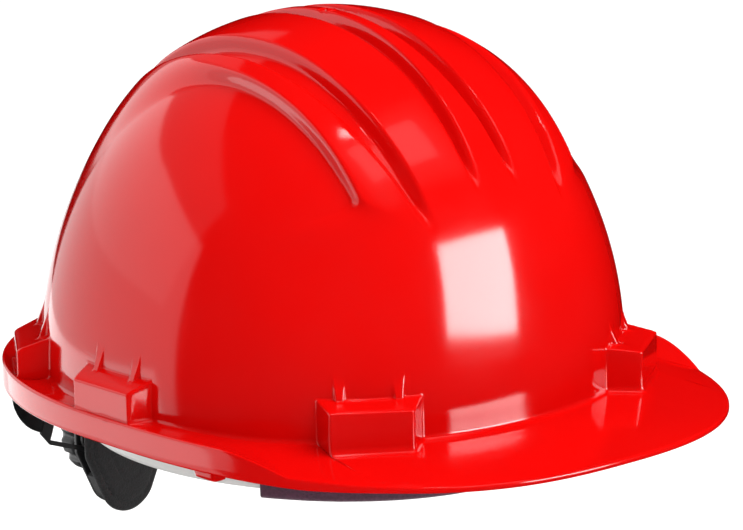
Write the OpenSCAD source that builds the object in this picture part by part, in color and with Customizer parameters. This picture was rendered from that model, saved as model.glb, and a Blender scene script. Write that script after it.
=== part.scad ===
// Industrial hard hat: ribbed moulded shell with a front peak and a six-point webbing suspension.
// The nape strap tightens with a wheel: both toothed arms run over one pinion.
// Millimetres, +Z up, peak towards -Y, wearer's right towards -X, lower rim edge at Z = 0.

/* [Shell] */
// Half width of the crown at its foot
crown_half_w = 102.5; // [102:0.5:103.5]
// Half length of the crown at its foot
crown_half_l = 111.5; // [109:0.5:114]
// Height of the crown without its ribs, over the rim's lower edge
crown_h = 138; // [134:1:142]
// Wall thickness of the shell
wall = 2.5; // [2.2:0.1:2.8]
// Height of the ribs over the crown
rib_h = 4.5; // [3:0.5:6]

/* [Rim and peak] */
// Height of the rain ledge over the rim's lower edge
ledge_z = 9.5; // [8.5:0.5:10.5]
// Half width of the rim
rim_half_w = 111.5; // [110.5:0.5:113]
// Reach of the rim behind the centre
rim_rear = 132; // [129:1:135]
// Reach of the peak in front of the centre
peak_reach = 160; // [155:1:165]
// Height of the peak's top face where it meets the crown
peak_root_z = 8; // [7:0.5:9]
// Height of the peak's top face at its thin edge
peak_edge_z = 4; // [3.5:0.25:5]

/* [Suspension] */
// Half width of the headband's oval
band_a = 81; // [79:0.5:82]
// Half length of the headband's oval
band_b = 99; // [97:0.5:100]
// Height of the headband
band_h = 28; // [24:1:30]
// Width of the crown webbing
web_w = 19; // [16:1:20]
// Height of the webbing's crossing over the rim's lower edge
web_top = 99; // [94:1:103]

/* [Nape adjuster] */
// Height of the wheel's axis below the rim's lower edge
wheel_drop = 47; // [45:0.5:48]
// Radius of the wheel
wheel_r = 18; // [16:0.5:19]
// Pitch radius of the pinion
pitch_r = 6.5; // [6.5:0.5:6.5]
// Slope of each toothed arm down to the wheel, in degrees
arm_slope = 20; // [18:1:22]

/* [Hidden] */
$fn = 64;

red = [0.84, 0.04, 0.03];
pale_grey = [0.78, 0.78, 0.77];
webbing_grey = [0.62, 0.62, 0.62];
pad_purple = [0.2, 0.06, 0.14];
black = [0.08, 0.08, 0.08];
steel = [0.7, 0.7, 0.72];

// Crown: a superellipse in plan, narrowing by a power law towards the top, which leans forward
plan_n = 2.15;
crown_p = 2.08;
crown_q = 2.04;
lean = 3.5;
// Rim: superellipse exponents of its rear half and of the peak
rear_n = 2.26;
peak_n = 2.6;
rim_mid_y = -1;
// The skirt's upper ridge runs level to ridge_start, then falls to the peak's corner at ridge_end
ridge_start = -62;
ridge_end = -91;
skirt_z = 10;
peak_under_z = 1.5;
// The crown's wall is upright below crown_base_z and reaches down past the ledge to foot_low_z
crown_base_z = 13;
foot_low_z = 5;
// Ribs fade out between these heights
rib_low = 74;
rib_high = 112;
// Pairs of [x, on]: 1 on a rib's top, 0 in a valley or beside the ribs
half_stations = [
    [2, 1], [4.4, 0], [8.6, 0], [11, 1], [20, 1], [30, 1], [32.5, 0], [40, 0],
    [42.5, 1], [49, 1], [55, 1], [58, 0], [66, 0], [75, 0], [83, 0], [90, 0],
    [95.5, 0], [98.7, 0], [100.8, 0], [101.9, 0]
];
arc_steps = 30;
void_steps = 16;
ring_steps = 96;

// Key pockets: angle from the front, how far each stands out of the crown, and its lower end
pockets = [[33, 11, 6.2], [89, 8.6, 8.2], [130, 10, 8.2]];
pocket_half_w = 15.5;
pocket_top = 19.5;
pocket_root_top = 23.5;
fin_gap = 10.5;
fin_top = 27.5;
fin_t = 1.8;
key_half_w = 12.4;
stud_r = 3;
stud_z = 4.5;
stud_len = 5;
fit_gap = 0.05;
// Key, measured inwards from the crown's foot: the hanger plate's two faces and its upper end
hanger_out = 4.2;
hanger_in = 6.4;
hanger_top = 24;
// Heights of the two webbing slots in the hanger plate, lower and upper
web_slots = [[15, 18], [19.6, 22]];
// Ears of the headband stand on the studs, behind the hanger plate
ear_in = 8.4;
ear_t = 2;
ear_r = 5.5;
ear_root_z = 4;
ear_root_half_w = 6;

band_y = 8;
band_t = 1.8;
band_z = -17;
band_end_y = 62;
brow_end_y = -43;
pad_t = 4;
web_t = 1.4;
web_layer = 2.2;
web_root_z = 14;
web_mid_y = -6;
web_end_in = 9.2;

peg_y = 8;
peg_z = -5.5;
peg_r = 3;
plate_x = band_a + band_t / 2 + 0.4;
plate_t = 2;
plate_end_y = 52;
strap_h = 12;
// The flexible stretch is a superellipse in plan and dives after this part of its way inwards
arm_plan_n = 1.8;
arm_dive = 0.12;
// Adjuster layers along Y, from the wearer's side outwards
pad_y = 128;
base_y = 132.2;
rack_y = 135;
rack_t = 1.5;
layer_gap = 0.3;
cover_y = 139.2;
cover_t = 2;
knob_y = 142;
knob_t = 11;
wheel_z = -wheel_drop;
teeth = 12;
rack_root_x = 36;
rack_tip = 16;
rack_h = 19;
rack_pitch = 2 * PI * pitch_r / teeth;
// How far the gap that meets a pinion tooth stands from the middle of the window
mesh_shift = rack_pitch * (1 - arm_slope * teeth / 360);
tooth_h = 1.4;
travel = 24;
window_half_h = pitch_r + 1.2;

function spow(v, k) = sign(v) * pow(abs(v), k);
function smooth(v) = let (c = min(max(v, 0), 1)) c * c * (3 - 2 * c);
function oval_pt(a, b, n, t) = [a * spow(cos(t), 2 / n), b * spow(sin(t), 2 / n)];
function mix(a, b, k) = a + (b - a) * k;

// A point of the crown at the given x and at arc angle psi, 0 at the rear foot and 180 at the front
function crown_pt(x, psi, grow) =
    let (half_w = crown_half_w + grow,
         part = pow(1 - pow(abs(x) / half_w, crown_p), 1 / crown_q) * sin(psi),
         rho = pow(1 - pow(part, crown_q), 1 / crown_p),
         across = min(abs(x) / (half_w * rho), 1),
         reach = (crown_half_l + grow) * rho * pow(1 - pow(across, plan_n), 1 / plan_n))
    [x, sign(cos(psi)) * reach - lean * part,
        crown_base_z + (crown_h + grow - crown_base_z) * part];
function rib_grow(station, psi) =
    station[1] * rib_h
    * smooth((crown_pt(station[0], psi, 0)[2] - rib_low) / (rib_high - rib_low));

// Closed body over a list of stations, each a list of arc points, with a flat underside
module loft(rows) {
    n = len(rows[0]);
    last = len(rows) - 1;
    polyhedron(
        points = [for (row = rows) for (p = row) p],
        faces = concat(
            [for (i = [0:last - 1]) for (j = [0:n - 1])
                let (k = (j + 1) % n) [i * n + j, i * n + k, (i + 1) * n + k]],
            [for (i = [0:last - 1]) for (j = [0:n - 1])
                let (k = (j + 1) % n) [i * n + j, (i + 1) * n + k, (i + 1) * n + j]],
            [[for (j = [n - 1:-1:0]) j]],
            [[for (j = [0:n - 1]) last * n + j]]
        ),
        convexity = 6
    );
}

// Closed ring of sections, each a loop of points
module ring(sections) {
    n = len(sections[0]);
    m = len(sections);
    polyhedron(
        points = [for (s = sections) for (p = s) p],
        faces = concat(
            [for (i = [0:m - 1]) for (j = [0:n - 1])
                let (a = i * n, b = ((i + 1) % m) * n) [a + j, b + j, b + (j + 1) % n]],
            [for (i = [0:m - 1]) for (j = [0:n - 1])
                let (a = i * n, b = ((i + 1) % m) * n, k = (j + 1) % n) [a + j, b + k, a + k]]
        ),
        convexity = 6
    );
}

module crown_outside() {
    stations = concat(
        [for (i = [len(half_stations) - 1:-1:0]) half_stations[i]],
        [for (s = half_stations) [-s[0], s[1]]]
    );
    loft([for (s = stations)
        let (arc = [for (j = [0:arc_steps])
                 let (psi = 180 * j / arc_steps) crown_pt(s[0], psi, rib_grow(s, psi))],
             rear = arc[0], front = arc[arc_steps])
        concat([[rear[0], rear[1], foot_low_z]], arc, [[front[0], front[1], foot_low_z]])]);
}

// The head space: rings that narrow to the top, on a straight foot
module crown_inside() {
    heights = [for (k = [0:void_steps]) sin(88 * k / void_steps)];
    loft(concat(
        [[for (i = [0:ring_steps - 1]) concat(foot_pt(-i * 360 / ring_steps, -wall), -1)]],
        [for (part = heights)
            let (rho = pow(1 - pow(part, crown_q), 1 / crown_p))
            [for (i = [0:ring_steps - 1])
                let (p = foot_pt(-i * 360 / ring_steps, -wall) * rho)
                [p[0], p[1] - lean * part,
                    crown_base_z + (crown_h - wall - crown_base_z) * part]]]
    ));
}

function foot_pt(t, grow) =
    oval_pt(crown_half_w + grow, crown_half_l + grow, plan_n, t);
function rim_pt(t, inset) =
    let (rear = sin(t) >= 0,
         reach = (rear ? rim_rear - rim_mid_y : peak_reach + rim_mid_y) - inset,
         p = oval_pt(rim_half_w - inset, reach, rear ? rear_n : peak_n, t))
    [p[0], p[1] + rim_mid_y];
function to_peak(y) = min(max((ridge_start - y) / (ridge_start - ridge_end), 0), 1);
function rim_section(t) =
    let (edge = rim_pt(t, 0), k = to_peak(edge[1]),
         front = smooth((-edge[1] - 40) / 70),
         root_z = mix(ledge_z, peak_root_z, front),
         top_z = mix(skirt_z, peak_edge_z, k),
         low_z = peak_under_z * smooth((-edge[1] + ridge_end) / 40),
         skin = foot_pt(t, -wall / 2), root = foot_pt(t, 1), inner = rim_pt(t, wall))
    [
        [skin[0], skin[1], root_z],
        [root[0], root[1], root_z],
        [edge[0], edge[1], top_z],
        [edge[0], edge[1], low_z],
        [inner[0], inner[1], low_z],
        [inner[0], inner[1], max(min(root_z, top_z) - wall, low_z + 0.1)],
        [skin[0], skin[1], root_z - wall]
    ];

module rim() {
    ring([for (i = [0:ring_steps - 1]) rim_section(i * 360 / ring_steps)]);
}

// Radius of the crown's foot, and the bearing of its outward normal, at an angle from the front
function foot_r(az) = pow(
    pow(abs(sin(az)) / crown_half_w, plan_n) + pow(abs(cos(az)) / crown_half_l, plan_n),
    -1 / plan_n);
function foot_bearing(az) =
    let (r = foot_r(az))
    atan2(-sign(cos(az)) * pow(abs(r * cos(az)) / crown_half_l, plan_n - 1) / crown_half_l,
        -sign(sin(az)) * pow(abs(r * sin(az)) / crown_half_w, plan_n - 1) / crown_half_w);

// Puts children at a pocket: local +X points out of the crown, local Y runs along it
module at_pocket(i, side) {
    az = side * pockets[i][0];
    r = foot_r(az);
    translate([-r * sin(az), -r * cos(az), 0])
        rotate([0, 0, foot_bearing(az)])
            children();
}

module slab(x0, x1, half_y, z0, z1) {
    translate([x0, -half_y, z0])
        cube([x1 - x0, 2 * half_y, z1 - z0]);
}

module pocket_outside(depth, low_z) {
    hull() {
        slab(-4, depth, pocket_half_w, low_z, pocket_top);
        slab(-4, 0.4, pocket_half_w + 3, low_z, pocket_root_top);
    }
    for (s = [-1, 1])
        hull() {
            translate([0, s * fin_gap, 0])
                slab(-5, 2.6, fin_t / 2, pocket_top, pocket_root_top);
            translate([0, s * fin_gap, 0])
                slab(-5, -1.5, fin_t / 2, pocket_root_top, fin_top);
        }
}

module pocket_inside(depth) {
    slab(-8, depth - wall, key_half_w + 0.4, -1, pocket_top - 2.2);
}

// Small lug for a chin strap hook under the rim, one a side
module chin_lug(side) {
    hull() {
        translate([side * 101 - 3, -59, -4.5])
            cube([6, 12, 4]);
        translate([side * 101 - 4, -60, 2])
            cube([8, 14, 6]);
    }
}

module shell() {
    color(red)
        union() {
            difference() {
                union() {
                    crown_outside();
                    rim();
                    for (i = [0:2]) for (side = [-1, 1])
                        at_pocket(i, side) pocket_outside(pockets[i][1], pockets[i][2]);
                }
                crown_inside();
                for (i = [0:2]) for (side = [-1, 1])
                    at_pocket(i, side) pocket_inside(pockets[i][1]);
            }
            for (side = [-1, 1]) chin_lug(side);
        }
}

// Suspension key: a plug in the pocket, a hanger plate with the webbing slot, and a stud
module key(i, side) {
    depth = pockets[i][1];
    color(pale_grey)
        at_pocket(i, side) {
            difference() {
                union() {
                    slab(-hanger_out - 0.2, depth - wall - 0.3, key_half_w, 4, pocket_top - 2.6);
                    slab(-hanger_in, -hanger_out, key_half_w, stud_z - 3.5, hanger_top);
                }
                slab(-3, depth, key_half_w - 5, 3, pocket_top - 4.5);
                for (z = web_slots)
                    slab(-hanger_in - 0.6, -hanger_out + 0.4, web_w / 2 + 0.4, z[0], z[1]);
            }
            translate([0.1 - hanger_in, 0, stud_z])
                rotate([0, -90, 0])
                    cylinder(h = stud_len, r = stud_r);
        }
}

// Where the webbing leaves a key, in plan
function key_xy(i, side) =
    let (az = side * pockets[i][0], r = foot_r(az), n = foot_bearing(az))
    [-r * sin(az) - web_end_in * cos(n), -r * cos(az) - web_end_in * sin(n)];
function web_plan(a, b, u) =
    let (mid = [0, 2 * web_mid_y] - (a + b) / 2)
    a * pow(1 - u, 2) + mid * 2 * u * (1 - u) + b * u * u;
function web_z(u) = let (f = abs(2 * u - 1))
    web_root_z + (web_top - web_root_z) * pow(1 - pow(f, 2.3), 0.55);

// A webbing strap from key a over the head to key b, lifted by its layer
module web(a, b, lift) {
    steps = 40;
    us = [for (k = [0:steps]) 0.5 - 0.5 * cos(180 * k / steps)];
    color(webbing_grey)
        loft([for (u = us)
            let (p = web_plan(a, b, u), e = 0.01,
                 q = web_plan(a, b, min(u + e, 1)) - web_plan(a, b, max(u - e, 0)),
                 w = [-q[1], q[0]] / norm(q) * web_w / 2,
                 rise = web_z(min(u + e, 1)) - web_z(max(u - e, 0)),
                 up = [-q[0] * rise, -q[1] * rise, q * q] / norm([q[0] * rise, q[1] * rise, q * q]),
                 c = [p[0], p[1], web_z(u)] + up * lift * smooth(2.6 - 4 * abs(2 * u - 1)))
            [
                c + [w[0], w[1], 0],
                c - [w[0], w[1], 0],
                c - [w[0], w[1], 0] + up * web_t,
                c + [w[0], w[1], 0] + up * web_t
            ]]);
}

module band_outline(grow) {
    polygon([for (i = [0:ring_steps - 1])
        [0, band_y] + oval_pt(band_a + grow, band_b + grow, 2, i * 360 / ring_steps)]);
}

module band_layer(inner, outer, z0, z1) {
    translate([0, 0, z0])
        linear_extrude(z1 - z0)
            difference() {
                band_outline(outer);
                band_outline(inner);
            }
}

// Block that takes in all of the hat in front of end_y, from height z
module front_part(z, end_y, h) {
    translate([-150, -150, z])
        cube([300, 150 + end_y, h]);
}

// Ear of the headband: from its upper edge out to a pocket's key
module ear(i, side) {
    az = side * pockets[i][0];
    r = foot_r(az);
    d = [-r * sin(az), -r * cos(az) - band_y];
    k = 1 / norm([d[0] / band_a, d[1] / band_b]);
    hull() {
        at_pocket(i, side)
            translate([-ear_in, 0, stud_z])
                rotate([0, -90, 0])
                    cylinder(h = ear_t, r = ear_r);
        translate([k * d[0], k * d[1] + band_y, 0])
            rotate([0, 0, foot_bearing(az)])
                slab(-band_t / 2, band_t / 2, ear_root_half_w, ear_root_z, band_z + band_h);
    }
}

module headband() {
    top = band_z + band_h;
    color(pale_grey)
        difference() {
            union() {
                intersection() {
                    band_layer(-band_t / 2, band_t / 2, band_z, top);
                    front_part(band_z, band_end_y, band_h);
                }
                for (i = [0:2]) for (side = [-1, 1]) ear(i, side);
            }
            for (i = [0:2]) for (side = [-1, 1])
                at_pocket(i, side)
                    translate([0.4 - hanger_in, 0, stud_z])
                        rotate([0, -90, 0])
                            cylinder(h = stud_len + 3, r = stud_r + fit_gap);
            translate([-120, peg_y, peg_z])
                rotate([0, 90, 0])
                    cylinder(h = 240, r = peg_r + fit_gap);
        }
}

// Sweatband folded over the headband's lower edge, across the forehead
module brow_pad() {
    inner = -band_t / 2 - 0.4;
    outer = band_t / 2 + 0.1;
    color(pad_purple)
        intersection() {
            union() {
                band_layer(inner - pad_t, inner, band_z - 3, band_z + band_h + 2);
                band_layer(inner - pad_t, outer + 1.4, band_z - 3, band_z - 0.2);
                band_layer(outer, outer + 1.4, band_z - 3, band_z + 12);
            }
            front_part(band_z - 4, brow_end_y, band_h + 8);
        }
}

// Flat end of a nape arm, hung on the headband's peg
module arm_end(side) {
    color(black)
        difference() {
            hull() {
                translate([side * (plate_x + plate_t / 2), peg_y, peg_z])
                    rotate([0, 90, 0])
                        cylinder(h = plate_t, r = strap_h / 2, center = true);
                translate([side * (plate_x + plate_t / 2), plate_end_y - 2, peg_z])
                    cube([plate_t, 4, strap_h], center = true);
            }
            translate([side * plate_x, peg_y, peg_z])
                rotate([0, 90, 0])
                    cylinder(h = 20, r = peg_r, center = true);
        }
}

// Headed peg: fixed in the arm's end, turning in the headband's hole
module peg(side) {
    inside = band_a - band_t / 2 - 0.4;
    color(black)
        translate([0, peg_y, peg_z])
            rotate([0, side * 90, 0]) {
                translate([0, 0, inside - 1])
                    cylinder(h = plate_x + plate_t - inside + 1, r = peg_r);
                translate([0, 0, inside - 1.4])
                    cylinder(h = 1.4, r = peg_r + 1.6);
                translate([0, 0, plate_x + plate_t])
                    cylinder(h = 1.6, r1 = 5.5, r2 = 4.6);
            }
}

rack_root_z = wheel_z + rack_root_x * tan(arm_slope);
flex_y0 = plate_end_y + 0.3;
flex_end_x = -rack_root_x - 0.4;
flex_span = plate_x + plate_t / 2 + flex_end_x;
// Slope of the dive's end, so that the stretch runs on into its rack
dive_end = (1 - arm_dive) * tan(arm_slope) * flex_span / (peg_z - rack_root_z);
function rack_front(side) = side < 0 ? rack_y : rack_y + rack_t + layer_gap;
// Middle line of the right arm's flexible stretch, from its end plate to a rack at rack_mid
function flex_pt(rack_mid, u) =
    let (outwards = spow(cos(90 * u), 2 / arm_plan_n),
         v = max(1 - outwards - arm_dive, 0) / (1 - arm_dive))
    [flex_end_x - flex_span * outwards,
     flex_y0 + (rack_mid - flex_y0) * spow(sin(90 * u), 2 / arm_plan_n),
     peg_z + (rack_root_z - peg_z) * ((3 - dive_end) * pow(v, 2) + (dive_end - 2) * pow(v, 3))];

module flex_arm(side) {
    steps = 24;
    mid = rack_front(side) + rack_t / 2;
    color(black)
        mirror([side > 0 ? 1 : 0, 0, 0])
            loft([for (k = [0:steps])
                let (u = k / steps, p = flex_pt(mid, u),
                     d = flex_pt(mid, min(u + 0.01, 1)) - flex_pt(mid, max(u - 0.01, 0)),
                     n = [d[1], -d[0], 0] / norm([d[0], d[1]]) * rack_t / 2,
                     up = cross(n, d) / norm(cross(n, d)) * strap_h / 2)
                [p + n + up, p - n + up, p - n - up, p + n - up]]);
}

// Toothed strap end: a window with teeth along its upper edge, or its lower edge
module rack(side) {
    window_end = rack_tip - 4;
    window_start = window_end - travel - 2 * pitch_r - 8;
    tooth_count = floor((window_end - window_start - 6) / rack_pitch);
    color(black)
        translate([0, rack_front(side), wheel_z])
            mirror([side > 0 ? 1 : 0, 0, 0])
                rotate([0, arm_slope, 0])
                    rotate([90, 0, 0])
                        translate([0, 0, -rack_t])
                            linear_extrude(rack_t) {
                                difference() {
                                    translate([-rack_root_x / cos(arm_slope), -rack_h / 2])
                                        square([rack_root_x / cos(arm_slope) + rack_tip, rack_h]);
                                    translate([window_start, -window_half_h])
                                        square([window_end - window_start, 2 * window_half_h]);
                                }
                                for (k = [-tooth_count:2])
                                    if (k * rack_pitch > window_start + 2
                                        && k * rack_pitch < window_end - 2)
                                        rack_tooth(k, -side);
                            }
}

// One tooth; the pinion's teeth meet the gaps between them
module rack_tooth(k, edge) {
    translate([(k + 0.5) * rack_pitch + edge * mesh_shift, edge * window_half_h])
        polygon([[edge * 0.75, edge * 0.2], [-edge * 0.75, edge * 0.2],
            [-edge * 0.35, -edge * tooth_h], [edge * 0.35, -edge * tooth_h]]);
}

// Outline of the adjuster housing: wide at the arms, narrowing to a round foot
module shield(grow) {
    offset(r = grow)
        hull() {
            translate([-12, 10]) circle(r = 6, $fn = 32);
            translate([12, 10]) circle(r = 6, $fn = 32);
            translate([-13, -4]) circle(r = 5, $fn = 32);
            translate([13, -4]) circle(r = 5, $fn = 32);
            translate([0, -18]) circle(r = 11, $fn = 32);
        }
}

// Extrudes a front-view outline backwards from y
module plate(y, t) {
    translate([0, y + t, wheel_z])
        rotate([90, 0, 0])
            linear_extrude(t)
                children();
}

module arm_slot(grow) {
    for (s = [-1, 1])
        rotate(s * arm_slope)
            square([80, rack_h + grow], center = true);
}

screw_spots = [[0, 12.8], [-8, -19], [8, -19]];
screw_r = 1;
base_t = 2;
// The housing's side wall and screw posts, up to just short of the cover
wall_y = base_y + base_t - 0.01;
wall_depth = cover_y - 0.1 - wall_y;

module housing_base() {
    color(black)
        difference() {
            union() {
                plate(base_y, base_t) shield(0);
                plate(wall_y, wall_depth)
                    difference() {
                        shield(0);
                        shield(-1.6);
                        arm_slot(0.8);
                    }
                for (p = screw_spots)
                    plate(wall_y, wall_depth)
                        translate(p) circle(r = 2.2);
            }
            plate(base_y - 1, 4) circle(r = 3 + fit_gap);
            for (p = screw_spots)
                plate(base_y + 1, 8) translate(p) circle(r = screw_r);
        }
}

module housing_cover() {
    color(black)
        difference() {
            plate(cover_y, cover_t) shield(0);
            plate(cover_y - 1, cover_t + 2) circle(r = 4 + fit_gap);
            for (p = screw_spots)
                plate(cover_y - 1, cover_t + 2) translate(p) circle(r = screw_r + 0.1);
        }
}

module housing_screws() {
    color(steel)
        for (p = screw_spots) {
            plate(base_y + 1.2, cover_y + cover_t - base_y - 1.2) translate(p) circle(r = screw_r);
            plate(cover_y + cover_t, 0.8) translate(p) circle(r = 1.9);
        }
}

module nape_pad() {
    color(black)
        plate(pad_y, base_y - pad_y - 0.1)
            shield(2);
}

// Leaf ring on the cover whose two noses click in the knob's serrations
module detent_spring() {
    color(steel)
        difference() {
            union() {
                plate(cover_y + cover_t + 0.05, 0.6) circle(r = 9);
                for (a = [0, 180])
                    rotate_about_wheel(a)
                        plate(cover_y + cover_t + 0.05, 1.8)
                            translate([10, 0]) circle(r = 1.4);
            }
            plate(cover_y, 6) circle(r = 5);
        }
}

module rotate_about_wheel(a) {
    translate([0, 0, wheel_z])
        rotate([0, a, 0])
            translate([0, 0, -wheel_z])
                children();
}

module pinion() {
    root_r = pitch_r - 1.0;
    color(steel)
        difference() {
            union() {
                plate(rack_y - 0.3, 2 * rack_t + layer_gap + 0.6) {
                    circle(r = root_r);
                    for (k = [0:teeth - 1])
                        rotate(k * 360 / teeth)
                            polygon([[root_r - 0.4, -0.75], [root_r - 0.4, 0.75],
                                [pitch_r + 0.75, 0.35], [pitch_r + 0.75, -0.35]]);
                }
                plate(base_y + 0.4, rack_y - base_y) circle(r = 3);
                plate(rack_y + 2, knob_y - rack_y - 2.1) circle(r = 4);
                plate(knob_y - 0.4, 5.3) square([5.6, 5.6], center = true);
            }
            plate(knob_y - 2, 8) circle(r = 1.2);
        }
}

// Scalloped wheel, hollow towards the cover, with serrations for the detent
module knob() {
    grips = 12;
    clicks = 24;
    click_r = 11.8;
    color(black)
        difference() {
            union() {
                plate(knob_y, knob_t - 2)
                    difference() {
                        circle(r = wheel_r);
                        for (k = [0:grips - 1])
                            rotate(k * 360 / grips) translate([wheel_r + 1.6, 0]) circle(r = 3.2);
                    }
                plate(knob_y + knob_t - 2.01, 2) circle(r = wheel_r - 3);
            }
            plate(knob_y - 1, 5)
                difference() {
                    union() {
                        circle(r = click_r);
                        for (k = [0:clicks - 1])
                            rotate(k * 360 / clicks) translate([click_r, 0]) circle(r = 0.7);
                    }
                    circle(r = 4.6);
                }
            plate(knob_y - 0.01, 5.1) square([5.7, 5.7], center = true);
            plate(knob_y, knob_t + 1) circle(r = 1.4);
            plate(knob_y + knob_t - 3, 4) circle(r = 3.2);
        }
}

module knob_screw() {
    color(steel)
        difference() {
            union() {
                plate(knob_y - 1.5, knob_t - 1) circle(r = 1.15);
                plate(knob_y + knob_t - 3, 1.6) circle(r = 2.8);
            }
            plate(knob_y + knob_t - 2.3, 2) square([3.8, 0.7], center = true);
            plate(knob_y + knob_t - 2.3, 2) square([0.7, 3.8], center = true);
        }
}

shell();
key(0, 1);  // key_front_right
key(0, -1);  // key_front_left
key(1, 1);  // key_side_right
key(1, -1);  // key_side_left
key(2, 1);  // key_rear_right
key(2, -1);  // key_rear_left
web(key_xy(0, 1), key_xy(2, -1), 0);  // strap_right_front
web(key_xy(0, -1), key_xy(2, 1), web_layer);  // strap_left_front
web(key_xy(1, 1), key_xy(1, -1), 2 * web_layer);  // strap_sides
headband();
brow_pad();
arm_end(-1);  // arm_end_right
arm_end(1);  // arm_end_left
peg(-1);  // peg_right
peg(1);  // peg_left
flex_arm(-1);  // arm_right
flex_arm(1);  // arm_left
rack(-1);  // rack_right
rack(1);  // rack_left
housing_base();
housing_cover();
housing_screws();
nape_pad();
detent_spring();
pinion();
knob();
knob_screw();
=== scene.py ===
"""Looks of the hard hat: a glossy ribbed shell over a webbing suspension with a nape wheel.

Lengths are millimetres in the frame's axes until a mesh is built, when they become metres.
"""

import math

import bmesh
import bpy
import numpy as np
from mathutils import Matrix, Vector


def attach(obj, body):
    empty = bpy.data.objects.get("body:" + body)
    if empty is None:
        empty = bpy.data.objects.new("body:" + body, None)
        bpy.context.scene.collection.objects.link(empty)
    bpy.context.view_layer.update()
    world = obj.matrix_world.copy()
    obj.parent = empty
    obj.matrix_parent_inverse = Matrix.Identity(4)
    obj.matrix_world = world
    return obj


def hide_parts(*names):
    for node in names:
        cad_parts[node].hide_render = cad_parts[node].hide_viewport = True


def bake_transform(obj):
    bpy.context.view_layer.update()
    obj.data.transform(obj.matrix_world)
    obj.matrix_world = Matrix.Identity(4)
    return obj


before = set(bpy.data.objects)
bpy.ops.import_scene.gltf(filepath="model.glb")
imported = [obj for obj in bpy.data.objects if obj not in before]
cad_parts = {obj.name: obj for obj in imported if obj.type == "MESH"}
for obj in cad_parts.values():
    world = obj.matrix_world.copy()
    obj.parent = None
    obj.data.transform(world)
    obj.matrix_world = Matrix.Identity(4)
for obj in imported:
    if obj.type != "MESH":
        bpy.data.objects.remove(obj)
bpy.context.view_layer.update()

MM = 0.001
ROOT = "hat"
SIDES = {"right": -1, "left": 1}

# Crown, rim and peak
CROWN_W, CROWN_L, CROWN_H = 102.5, 111.5, 138
CROWN_BASE = 13
WALL = 2.5
PLAN_N, CROWN_P, CROWN_Q, LEAN = 2.15, 2.08, 2.04, 3.5
RIM_W, RIM_REAR, PEAK_REACH = 111.5, 132, 160
REAR_N, PEAK_N, RIM_MID_Y = 2.26, 2.6, -1
LEDGE_Z, SKIRT_Z, PEAK_ROOT_Z, PEAK_EDGE_Z, PEAK_UNDER_Z = 9.5, 10.2, 8, 4, 1.5
RIDGE_START, RIDGE_END = -66, -95
RIB_H = 5.2
ROOT_FILLET, LIP, RIM_ROUND = 2.0, 1.1, 0.9

# Key pockets: angle from the front, stand-out of the face, depth of the cavity, slope of the top
POCKETS = {"front": (33, 11, 8.5, 7.0), "side": (89, 7.7, 6.1, 2.5), "rear": (130, 10, 7.5, 2.5)}
POCKET_ROOT_TOP, POCKET_HALF_W = 24.2, 18.2
FIN_GAP, FIN_TOP = 10.5, 27.5
KEY_HALF_W, STUD_Z = 12.4, 4.5

# Suspension
BAND_A, BAND_B, BAND_Y, BAND_T, BAND_Z, BAND_H, BAND_END_Y = 81, 99, 8, 1.8, -17, 28, 62
BAND_BEADS = (-12.5, 6.5)
TAB_HALF_W, TAB_HALF_T, TAB_LX = 5.6, 0.9, -9.4
PAD_T, PAD_END_Y = 4, -43
WEB_W, WEB_T, WEB_TOP, WEB_ROOT_Z, WEB_MID_Y, WEB_LAYER = 19, 1.3, 99, 14, -6, 1.9
# A strap's way through the slots of its key: outwards from the pocket's place, and height
WEB_THREADING = [(-7.6, 27), (-7.3, 23.6), (-6.0, 21.6), (-4.3, 20.6), (-3.6, 19.2),
                 (-4.2, 17.6), (-6.0, 16.7), (-7.2, 15.4), (-7.7, 12.6), (-7.9, 9.2)]

# Nape adjuster
WHEEL_Z, KNOB_Y, KNOB_T, PITCH_R = -47, 142, 11, 6.5
PEG_Y, PEG_Z, PLATE_X, PLATE_T, STRAP_H = 8, -5.5, 82.3, 2, 12
ARM_START_Y, ARM_PLAN_N, ARM_DIVE = 52.3, 1.8, 0.12
PAD_Y, BASE_Y, RACK_Y, RACK_T, COVER_Y, COVER_T = 128, 132.2, 135, 1.5, 139.2, 2
RACK_ROOT_X, RACK_H, RACK_TIP, ARM_SLOPE, TRAVEL, TEETH = 36, 19, 16, 20, 24, 12
SCREWS = ((0, 12.8), (-8, -19), (8, -19))


def spow(v, k):
    return np.sign(v) * np.abs(v) ** k


def smooth(v):
    c = np.clip(v, 0, 1)
    return c * c * (3 - 2 * c)


def mix(a, b, k):
    return a + (b - a) * k


def smin(a, b, r):
    """Smaller of two values, blended over a radius."""
    return np.minimum(a, b) - np.clip(r - np.abs(a - b), 0, None) ** 2 / (4 * r)


def smax(a, b, r):
    return -smin(-a, -b, r)


def unit(v):
    return v / np.linalg.norm(v, axis=-1, keepdims=True)


def run_along(path):
    """Distance travelled along a line at each of its points."""
    return np.concatenate([[0], np.cumsum(np.linalg.norm(np.diff(path, axis=0), axis=1))])


def bell(v, width):
    return math.exp(-(v / width) ** 2)


def turns(count):
    """Angles of a whole turn in equal steps, without the last one."""
    return np.linspace(0, 2 * math.pi, count + 1)[:-1]


# ---------------------------------------------------------------- mesh helpers


def put(name, data):
    """Object for a mesh, curve, light or camera, linked into the scene."""
    obj = bpy.data.objects.new(name, data)
    bpy.context.scene.collection.objects.link(obj)
    return obj


def get_points(mesh):
    points = np.empty(len(mesh.vertices) * 3)
    mesh.vertices.foreach_get("co", points)
    return points.reshape(-1, 3)


def set_points(mesh, points):
    mesh.vertices.foreach_set("co", points.ravel())
    mesh.update()


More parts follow.
